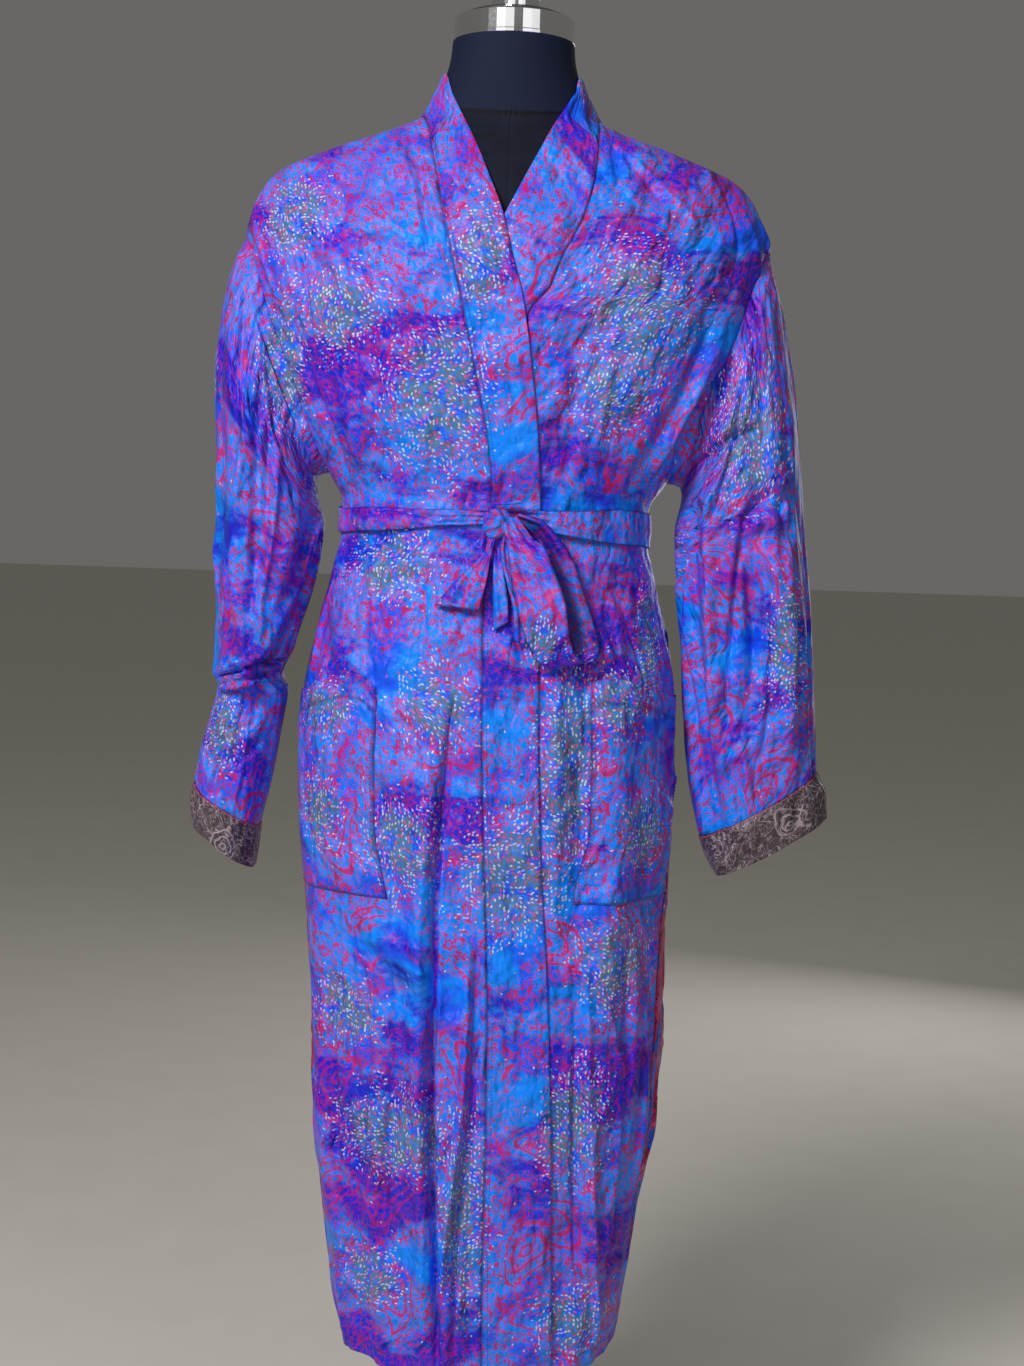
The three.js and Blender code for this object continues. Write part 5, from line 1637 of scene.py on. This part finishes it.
def form_cloth(colours):
    f = Finish("form_cover")
    place = f.cut_place()
    warp = f.noise(f.moved(place, size=(1.0, 0.12, 1.0)), 1500.0, 1.0)
    weft = f.noise(f.moved(place, size=(0.12, 1.0, 1.0)), 1500.0, 1.0)
    thread = f.math("ADD", f.times(warp, 0.5), f.times(weft, 0.5))
    wear = f.noise(place, 14.0, 4.0, 0.6)
    # Real rubbed threads, and painted light that makes the whole cover above the neck seam lighter.
    wear_and_painted_light = f.math("MAXIMUM", f.times(thread, f.step(wear, 0.3, 0.75)), f.mark("neck"))
    shade = f.mix(wear_and_painted_light, colours.form, colours.form_worn_and_painted_light)
    shade = f.mix(f.times(f.mark("seam"), 0.9), shade, (0, 0, 0.002, 1))
    f.give(Base_Color=shade, Roughness=f.scaled(thread, 0.12, 0.72))
    f.give(Normal=f.bump(thread, 0.0004, 0.7), Metallic=0.0)
    f.shader.inputs["Specular IOR Level"].default_value = 0.25
    return f.material


def chrome():
    f = Finish("bright_chrome")
    place = f.object_place()
    scratches = f.noise(f.moved(place, size=(1.0, 1.0, 9.0)), 180.0, 3.0, flat=False)
    smears = f.noise(place, 22.0, 3.0, flat=False)
    shade = f.mix(smears, (0.78, 0.79, 0.81, 1), (0.88, 0.88, 0.89, 1))
    rough = f.scaled(smears, 0.1, f.times(scratches, 0.1))
    f.give(Base_Color=shade, Roughness=rough, Metallic=1.0, Normal=f.bump(scratches, 0.0001, 0.25))
    return f.material


def black_steel():
    f = Finish("black_paint")
    place = f.object_place()
    orange_peel = f.noise(place, 420.0, 2.0, flat=False)
    dust = f.noise(place, 16.0, 4.0, 0.6, flat=False)
    shade = f.mix(f.step(dust, 0.45, 0.8), srgb("1A1B1E"), srgb("2B2C30"))
    f.give(Base_Color=shade, Roughness=f.scaled(dust, 0.25, 0.3))
    f.give(Metallic=0.0, Normal=f.bump(orange_peel, 0.0002, 0.35))
    f.shader.inputs["Coat Weight"].default_value = 0.2
    return f.material


def sewing_thread(name, shade):
    f = Finish(name)
    twist = f.noise(f.object_place(), 900.0, 1.0, flat=False)
    f.give(Base_Color=f.mix(f.times(twist, 0.5), shade, (0.05, 0.04, 0.08, 1)))
    f.give(Roughness=0.55, Normal=f.bump(twist, 0.0003, 0.5))
    return f.material


def pale_floor():
    f = Finish("pale_floor")
    grain = f.noise(f.object_place(), 9.0, 4.0, flat=False)
    f.give(Base_Color=f.mix(grain, srgb("D9D4CA"), srgb("E2DDD4")), Roughness=0.8)
    return f.material


def material(name, make):
    """The named material, made the first time that a piece asks for it."""
    found = bpy.data.materials.get(name)
    return found or make()


def silk():
    scene = bpy.context.scene
    return material("robe_print", lambda: print_silk(scene.robe_colours, scene.robe_sizes))


def dark_silk():
    scene = bpy.context.scene
    return material("cuff_print", lambda: cuff_silk(scene.robe_colours, scene.robe_sizes))


# ---- Stitches --------------------------------------------------------------------------------
def stitch_tree():
    """A tree that sews a run of stitches along curves."""
    tree = bpy.data.node_groups.new("stitch_run", "GeometryNodeTree")
    face = tree.interface
    face.new_socket("Path", in_out="INPUT", socket_type="NodeSocketGeometry")
    for name, value in (("Pitch", 0.0034), ("Stitch Length", 0.0022), ("Stitch Width", 0.0007)):
        socket = face.new_socket(name, in_out="INPUT", socket_type="NodeSocketFloat")
        socket.subtype = "DISTANCE"
        socket.default_value = value
    wobble = face.new_socket("Wobble", in_out="INPUT", socket_type="NodeSocketFloat")
    wobble.default_value = 0.09
    seed = face.new_socket("Seed", in_out="INPUT", socket_type="NodeSocketInt")
    seed.default_value = 7
    face.new_socket("Thread", in_out="INPUT", socket_type="NodeSocketMaterial")
    face.new_socket("Stitches", in_out="OUTPUT", socket_type="NodeSocketGeometry")
    new, link = tree.nodes.new, tree.links.new
    given, made = new("NodeGroupInput"), new("NodeGroupOutput")
    points = new("GeometryNodeCurveToPoints")
    points.mode = "LENGTH"
    link(given.outputs["Path"], points.inputs["Curve"])
    link(given.outputs["Pitch"], points.inputs["Length"])
    lean = new("FunctionNodeRandomValue")
    lean.data_type = "FLOAT_VECTOR"
    low = new("ShaderNodeVectorMath")
    low.operation = "SCALE"
    low.inputs[0].default_value = (-1, -1, -1)
    high = new("ShaderNodeVectorMath")
    high.operation = "SCALE"
    high.inputs[0].default_value = (1, 1, 1)
    for node, socket in ((low, lean.inputs["Min"]), (high, lean.inputs["Max"])):
        link(given.outputs["Wobble"], node.inputs["Scale"])
        link(node.outputs["Vector"], socket)
    link(given.outputs["Seed"], lean.inputs["Seed"])
    way = new("ShaderNodeVectorMath")
    way.operation = "ADD"
    link(points.outputs["Tangent"], way.inputs[0])
    link(lean.outputs["Value"], way.inputs[1])
    aim = new("FunctionNodeAlignRotationToVector")
    aim.axis = "Z"
    link(way.outputs["Vector"], aim.inputs["Vector"])
    bead = new("GeometryNodeMeshIcoSphere")
    bead.inputs["Radius"].default_value = 0.5
    bead.inputs["Subdivisions"].default_value = 1
    size = new("ShaderNodeCombineXYZ")
    link(given.outputs["Stitch Width"], size.inputs["X"])
    link(given.outputs["Stitch Width"], size.inputs["Y"])
    link(given.outputs["Stitch Length"], size.inputs["Z"])
    sewn = new("GeometryNodeInstanceOnPoints")
    link(points.outputs["Points"], sewn.inputs["Points"])
    link(bead.outputs["Mesh"], sewn.inputs["Instance"])
    link(aim.outputs["Rotation"], sewn.inputs["Rotation"])
    link(size.outputs["Vector"], sewn.inputs["Scale"])
    real = new("GeometryNodeRealizeInstances")
    link(sewn.outputs["Instances"], real.inputs["Geometry"])
    thread = new("GeometryNodeSetMaterial")
    link(real.outputs["Geometry"], thread.inputs["Geometry"])
    link(given.outputs["Thread"], thread.inputs["Material"])
    link(thread.outputs["Geometry"], made.inputs["Stitches"])
    return tree


def sew(name, runs, thread, slot, **sizes):
    """Sews stitches along runs of points and leaves them as one plain mesh."""
    path = bpy.data.curves.new(name + "_path", "CURVE")
    path.dimensions = "3D"
    for run in runs:
        line = path.splines.new("POLY")
        line.points.add(len(run) - 1)
        flat = np.concatenate([run / 1000, np.ones((len(run), 1))], axis=1)
        line.points.foreach_set("co", flat.astype(np.float32).ravel())
    guide = bpy.data.objects.new(name + "_path", path)
    bpy.context.scene.collection.objects.link(guide)
    tree = bpy.data.node_groups.get("stitch_run") or stitch_tree()
    sockets = {s.name: s.identifier for s in tree.interface.items_tree if s.in_out == "INPUT"}
    run_on = guide.modifiers.new("Stitches", "NODES")
    run_on.node_group = tree
    run_on[sockets["Thread"]] = thread
    for key, value in sizes.items():
        run_on[sockets[key.replace("_", " ")]] = value
    view = bpy.context.evaluated_depsgraph_get()
    mesh = bpy.data.meshes.new_from_object(guide.evaluated_get(view), depsgraph=view)
    mesh.name = name
    guide.modifiers.clear()
    bpy.data.objects.remove(guide)
    piece = bpy.data.objects.new(name, mesh)
    bpy.context.scene.collection.objects.link(piece)
    return finished(piece, slot)


# ---- Sizes and colours that a user would change ----------------------------------------------
class RobeSizes(bpy.types.PropertyGroup):
    """Sizes of the robe's finish."""

    crumple: bpy.props.FloatProperty(
        name="Crumple", description="How strongly the silk is crumpled", default=0.7, min=0, max=1
    )
    stitch_pitch: bpy.props.FloatProperty(
        name="Stitch pitch", description="From one stitch to the next", default=0.0034, subtype="DISTANCE"
    )


def colour(name, description, code):
    return bpy.props.FloatVectorProperty(
        name=name, description=description, default=srgb(code), size=4, subtype="COLOR", min=0, max=1
    )


class RobeColours(bpy.types.PropertyGroup):
    """Colours of the robe's prints."""

    azure: colour("Azure", "Light ground of the print", "0486FF")
    blue: colour("Blue", "Middle ground of the print", "1456F0")
    indigo: colour("Indigo", "Dark clouds of the print", "200CC4")
    violet: colour("Violet", "Haze round the drawn lines", "302AE6")
    crimson: colour("Crimson", "Drawn lines of the print", "C60A5C")
    cream: colour("Cream", "Pale grain dabs", "CDD2D8")
    pink: colour("Pink", "Pink grain dabs", "DC4A98")
    teal: colour("Teal", "Ground under the grain dabs", "56788E")
    # Ink is also the colour of the painted shade at seams, pocket edges, the knot's grooves and inside the bow's
    # loop.
    ink_and_painted_shade: colour("Ink", "Dark outlines and piped edges", "120C3C")
    cuff: colour("Cuff", "Ground of the cuffs' print", "52404A")
    cuff_dark: colour("Cuff shade", "Darker ground of the cuffs' print", "31252B")
    mauve: colour("Mauve", "Drawn lines of the cuffs' print", "B0A2AA")
    lavender: colour("Sheen", "Colour of the silk's sheen", "A9A4F0")
    form: colour("Form", "Cover of the dress form", "04081A")
    # Also the colour of the painted light on the cover above the neck seam.
    form_worn_and_painted_light: colour("Form, worn", "Rubbed threads of the form's cover", "0E1630")


class StageSettings(bpy.types.PropertyGroup):
    """The camera and the studio."""

    lens: bpy.props.FloatProperty(
        name="Lens", description="Focal length on a 36 mm high sensor", default=55.34, unit="CAMERA"
    )
    key_power: bpy.props.FloatProperty(
        name="Key light", description="Power of the main soft light", default=98.0, unit="POWER"
    )
    sky: bpy.props.FloatProperty(
        name="Surroundings", description="Strength of the pale surroundings", default=0.15, min=0
    )


def sewing():
    """The robe's own sewing thread and the cuffs' bright one."""
    blue = material("blue_thread", lambda: sewing_thread("blue_thread", srgb("20246C")))
    red = material("red_thread", lambda: sewing_thread("red_thread", srgb("D2386E")))
    return blue, red


def off_surface(points, distance):
    """Moves points of the body out from the body's middle line."""
    return points + unit(points * [1, 1, 0]) * distance


class ROBE_OT_fronts(bpy.types.Operator):
    """Makes the right and left front and the back of the robe"""

    bl_idname = "robe.body"
    bl_label = "Fronts and back"

    def execute(self, context):
        blue, _ = sewing()
        pitch = context.scene.robe_sizes.stitch_pitch
        hem_row = int(np.argmin(np.abs(PANEL_Z[5:] - HEM_Z - HEM_TURN))) + 5
        for side, offset in (("right", (0.35, 0.1)), ("left", (2.6, 0.44))):
            points, shade = front_panel(side)
            uv = cut_uv(points, offset, spine=0)
            piece = as_mesh(f"silk_front_{side}", points, uv, silk(), marks={"dark_edge_and_painted_shade": shade})
            finished(piece, "print_silk", f"front_{side}")
            hem = sew(f"hem_stitches_{side}", [off_surface(points[hem_row], 0.3)], blue, "print_silk", Pitch=pitch)
        points, border, shade = back_panel()
        uv = cut_uv(points, (5.2, 0.3), spine=points.shape[1] // 2)
        marks = {"border": border, "dark_edge_and_painted_shade": shade}
        piece = as_mesh("silk_back", points, uv, silk(), marks=marks)
        finished(piece, "print_silk", "back")
        hem = sew("hem_stitches_back", [off_surface(points[hem_row], 0.3)], blue, "print_silk", Pitch=pitch)
        return {"FINISHED"}


class ROBE_OT_pockets(bpy.types.Operator):
    """Makes the two patch pockets with their stitched mouths"""

    bl_idname = "robe.pockets"
    bl_label = "Pockets"

    def execute(self, context):
        blue, _ = sewing()
        pitch = context.scene.robe_sizes.stitch_pitch
        for side, offset in (("right", (7.4, 0.9)), ("left", (9.1, 0.2))):
            # lines is painted shade along the pocket's edges and hem.
            points, lines = pocket_sheet(side)
            uv = cut_uv(points, offset)
            piece = as_mesh(f"silk_pocket_{side}", points, uv, silk(), marks={"dark_edge_and_painted_shade": lines})
            finished(piece, "print_silk", f"pocket_{side}")
            share = np.linspace(0.02, 0.98, 60)
            hem_z = mouth_height(side, share) - POCKET_HEM
            hem = pocket_place(side, share, hem_z, POCKET_OUT - 0.2 + np.zeros(60))
            up = np.linspace(POCKET_LOW + 3, POCKET_HIGH + 2, 50)
            sides = [pocket_place(side, np.full(50, s), up, np.full(50, POCKET_OUT)) for s in (0.025, 0.975)]
            low = pocket_place(side, share, np.full(60, POCKET_LOW + 2.5), np.full(60, POCKET_OUT))
            runs = [hem, low, *sides]
            sewn = sew(f"pocket_stitches_{side}", runs, blue, "print_silk", Pitch=pitch)
        return {"FINISHED"}


class ROBE_OT_bands(bpy.types.Operator):
    """Makes the neck and front band in its two halves"""

    bl_idname = "robe.bands"
    bl_label = "Neck and front bands"

    def execute(self, context):
        blue, _ = sewing()
        pitch = context.scene.robe_sizes.stitch_pitch
        for side, offset in (("right", (11.3, 0.05)), ("left", (13.2, 0.4))):
            points = band_sheet(side)
            # Painted shade: a thin dark line along the band's sewn edge, where the front's edge shades it.
            shade = np.exp(-((band_section()[:, 0] / 0.03) ** 2)) * (np.arange(points.shape[1]) < 9)
            marks = {"dark_edge_and_painted_shade": SEAM_PAINTED_SHADE * (shade + np.zeros(points.shape[:2]))}
            piece = as_mesh(f"silk_band_{side}", points, cut_uv(points, offset), silk(), marks=marks)
            finished(piece, "print_silk", f"band_{side}")
            sewn = sew(
                f"band_stitches_{side}", [off_surface(points[::2, 3], 0.15)], blue, "print_silk", Pitch=pitch
            )
        return {"FINISHED"}


class ROBE_OT_sleeves(bpy.types.Operator):
    """Makes the sleeves and their dark cuffs"""

    bl_idname = "robe.sleeves"
    bl_label = "Sleeves and cuffs"

    def execute(self, context):
        _, red = sewing()
        for side, offset in (("right", (15.4, 0.6)), ("left", (17.7, 0.15))):
            points = sleeve_sheet(side)
            uv = cut_uv(points, offset, math.pi, around=True)
            piece = as_mesh(f"silk_sleeve_{side}", points, uv, silk(), around=True)
            finished(piece, "print_silk", f"sleeve_{side}")
            points = cuff_sheet(side)
            uv = cut_uv(points, offset, around=True)
            piece = as_mesh(f"silk_cuff_{side}", points, uv, dark_silk(), around=True)
            finished(piece, "cuff_silk", f"cuff_{side}")
            run = np.concatenate([points[1], points[1, :1]])
            sewn = sew(
                f"cuff_stitches_{side}", [run], red, "cuff_silk",
                Pitch=0.0036, Stitch_Length=0.0034, Stitch_Width=0.0013,
            )
        return {"FINISHED"}


class ROBE_OT_belt(bpy.types.Operator):
    """Makes the belt, its knot, the bow's loop and the hanging ends"""

    bl_idname = "robe.belt"
    bl_label = "Belt and bow"

    def execute(self, context):
        points, shares = belt_sheet()
        dark_edge_and_painted_shade = np.exp(-((np.minimum(shares, 1 - shares) / 0.035) ** 2))
        uv = cut_uv(points, (19.5, 0.3), around=True, looped=True)
        piece = as_mesh("silk_belt", points, uv, silk(), around=True, looped=True, marks={"dark_edge_and_painted_shade": dark_edge_and_painted_shade})
        finished(piece, "print_silk", "belt")
        cuts = {
            "bow_loop": (0.04, 0.34),
            "belt_tail_right": (0.027, 0.083),
            "belt_tail_middle": (0.0145, 0.1),
            "belt_tail_left": (0.0155, 0.11),
            "bow_ear": (0.012, 0.031),
        }
        for k, (name, (wide, long)) in enumerate(cuts.items()):
            points, shares = ribbon_sheet(name)
            dark_edge_and_painted_shade = np.exp(-((np.minimum(shares, 1 - shares) / 0.03) ** 2))
            # The loop's returning strand gets painted shade on its inner side.
            if name == "bow_loop":
                dark_edge_and_painted_shade = np.maximum(dark_edge_and_painted_shade, loop_painted_shade(shares))
            uv = cut_uv(points, (21.5 + 0.61 * k, 0.37 * k), around=True)
            piece = as_mesh(
                f"silk_{name}", points, uv, silk(), around=True, weld=True, marks={"dark_edge_and_painted_shade": dark_edge_and_painted_shade}
            )
            finished(piece, "print_silk", name)
        points, groove = knot_surface()
        uv = cut_uv(points, (26.3, 0.8), around=True)
        # The knot's grooves are darkened as painted shade.
        piece = as_mesh("silk_belt_knot", points, uv, silk(), around=True, weld=True, marks={"dark_edge_and_painted_shade": groove * 0.6})
        finished(piece, "print_silk", "belt_knot")
        return {"FINISHED"}


class ROBE_OT_form(bpy.types.Operator):
    """Covers the dress form and finishes its metal"""

    bl_idname = "robe.form"
    bl_label = "Dress form and stand"

    def execute(self, context):
        colours = context.scene.robe_colours
        points, marks = form_surface()
        cover = material("form_cover", lambda: form_cloth(colours))
        uv = cut_uv(points, around=True)
        piece = as_mesh("form_cover", points, uv, cover, around=True, weld=True, marks=marks)
        finished(piece, "form_cloth", "form_torso")
        bright = material("bright_chrome", chrome)
        black = material("black_paint", black_steel)
        finishes = {
            "neck_cap": bright,
            "neck_disc": black,
            "neck_knob": bright,
            "pole": bright,
            "base_collar": bright,
            "base": black,
        }
        for name, finish in finishes.items():
            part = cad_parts[name]
            part.data.materials.clear()
            part.data.materials.append(finish)
        return {"FINISHED"}


def aimed(place, target):
    way = Vector(target) - Vector(place)
    return Matrix.Translation(place) @ way.to_track_quat("-Z", "Y").to_matrix().to_4x4()


CAMERA_PLACE = (0.0198, -2.2, 1.10)
CAMERA_DOWN = 4.3  # degrees below level
CAMERA_ROLL = 1.9


def soft_light(name, place, target, power, size, shade=(1, 1, 1)):
    light = bpy.data.lights.new(name, "AREA")
    light.shape = "DISK"
    light.energy = power
    light.size = size
    light.color = shade
    lamp = bpy.data.objects.new(name, light)
    lamp.matrix_world = aimed(place, target)
    bpy.context.scene.collection.objects.link(lamp)


class ROBE_OT_stage(bpy.types.Operator):
    """Makes the floor, the soft studio light and the camera"""

    bl_idname = "robe.stage"
    bl_label = "Stage"

    def execute(self, context):
        scene = context.scene
        settings = scene.robe_stage
        floor_mesh = bpy.data.meshes.new("floor")
        reach = 40.0
        corners = [(-reach, -reach, 0), (reach, -reach, 0), (reach, reach, 0), (-reach, reach, 0)]
        floor_mesh.from_pydata(corners, [], [(0, 1, 2, 3)])
        floor_mesh.materials.append(material("pale_floor", pale_floor))
        floor = bpy.data.objects.new("floor", floor_mesh)
        scene.collection.objects.link(floor)
        world = bpy.data.worlds.new("pale_surroundings")
        world.use_nodes = True
        back = world.node_tree.nodes["Background"]
        back.inputs["Color"].default_value = (0.93, 0.9, 0.86, 1)
        back.inputs["Strength"].default_value = settings.sky
        scene.world = world
        chest = (0, 0, 1.05)
        soft_light("key", (-1.5, -2.4, 3.0), chest, settings.key_power, 1.0)
        soft_light("window_right", (1.5, -3.0, 2.5), (0, 0, 1.2), settings.key_power * 0.085, 1.9)
        soft_light("window_left", (-0.9, -3.2, 2.4), (0, 0, 1.2), settings.key_power * 0.06, 1.7)
        soft_light("low", (-0.6, -2.9, 0.4), (0, 0, 0.6), settings.key_power * 0.06, 1.4)
        soft_light("behind", (1.3, 2.8, 1.3), chest, settings.key_power * 0.14, 1.6)
        scene.view_settings.view_transform = "Standard"
        lens = bpy.data.cameras.new("camera")
        lens.sensor_fit = "VERTICAL"
        lens.sensor_height = 36
        lens.lens = settings.lens
        camera = bpy.data.objects.new("camera", lens)
        tilt = Matrix.Rotation(math.radians(90 - CAMERA_DOWN), 4, "X")
        roll = Matrix.Rotation(math.radians(CAMERA_ROLL), 4, "Z")
        camera.matrix_world = Matrix.Translation(CAMERA_PLACE) @ tilt @ roll
        scene.collection.objects.link(camera)
        scene.camera = camera
        return {"FINISHED"}


OPERATORS = (
    ROBE_OT_stage,
    ROBE_OT_form,
    ROBE_OT_fronts,
    ROBE_OT_pockets,
    ROBE_OT_bands,
    ROBE_OT_sleeves,
    ROBE_OT_belt,
)


class ROBE_PT_panel(bpy.types.Panel):
    """Lists what makes the robe"""

    bl_label = "Kimono Robe"
    bl_idname = "ROBE_PT_panel"
    bl_space_type = "VIEW_3D"
    bl_region_type = "UI"
    bl_category = "Robe"

    def draw(self, context):
        for settings in (context.scene.robe_sizes, context.scene.robe_colours, context.scene.robe_stage):
            box = self.layout.box()
            for name in settings.bl_rna.properties.keys():
                if name not in {"rna_type", "name"}:
                    box.prop(settings, name)
        for operator in OPERATORS:
            self.layout.operator(operator.bl_idname)


SETTINGS = {"robe_sizes": RobeSizes, "robe_colours": RobeColours, "robe_stage": StageSettings}


def register():
    for kind in (*SETTINGS.values(), *OPERATORS, ROBE_PT_panel):
        bpy.utils.register_class(kind)
    for name, kind in SETTINGS.items():
        setattr(bpy.types.Scene, name, bpy.props.PointerProperty(type=kind))


def unregister():
    for name in SETTINGS:
        delattr(bpy.types.Scene, name)
    for kind in (ROBE_PT_panel, *reversed(OPERATORS), *SETTINGS.values()):
        bpy.utils.unregister_class(kind)


def main():
    register()
    bpy.ops.robe.stage()
    bpy.ops.robe.form()
    bpy.ops.robe.body()
    bpy.ops.robe.pockets()
    bpy.ops.robe.bands()
    bpy.ops.robe.sleeves()
    bpy.ops.robe.belt()


if __name__ == "__main__":
    main()
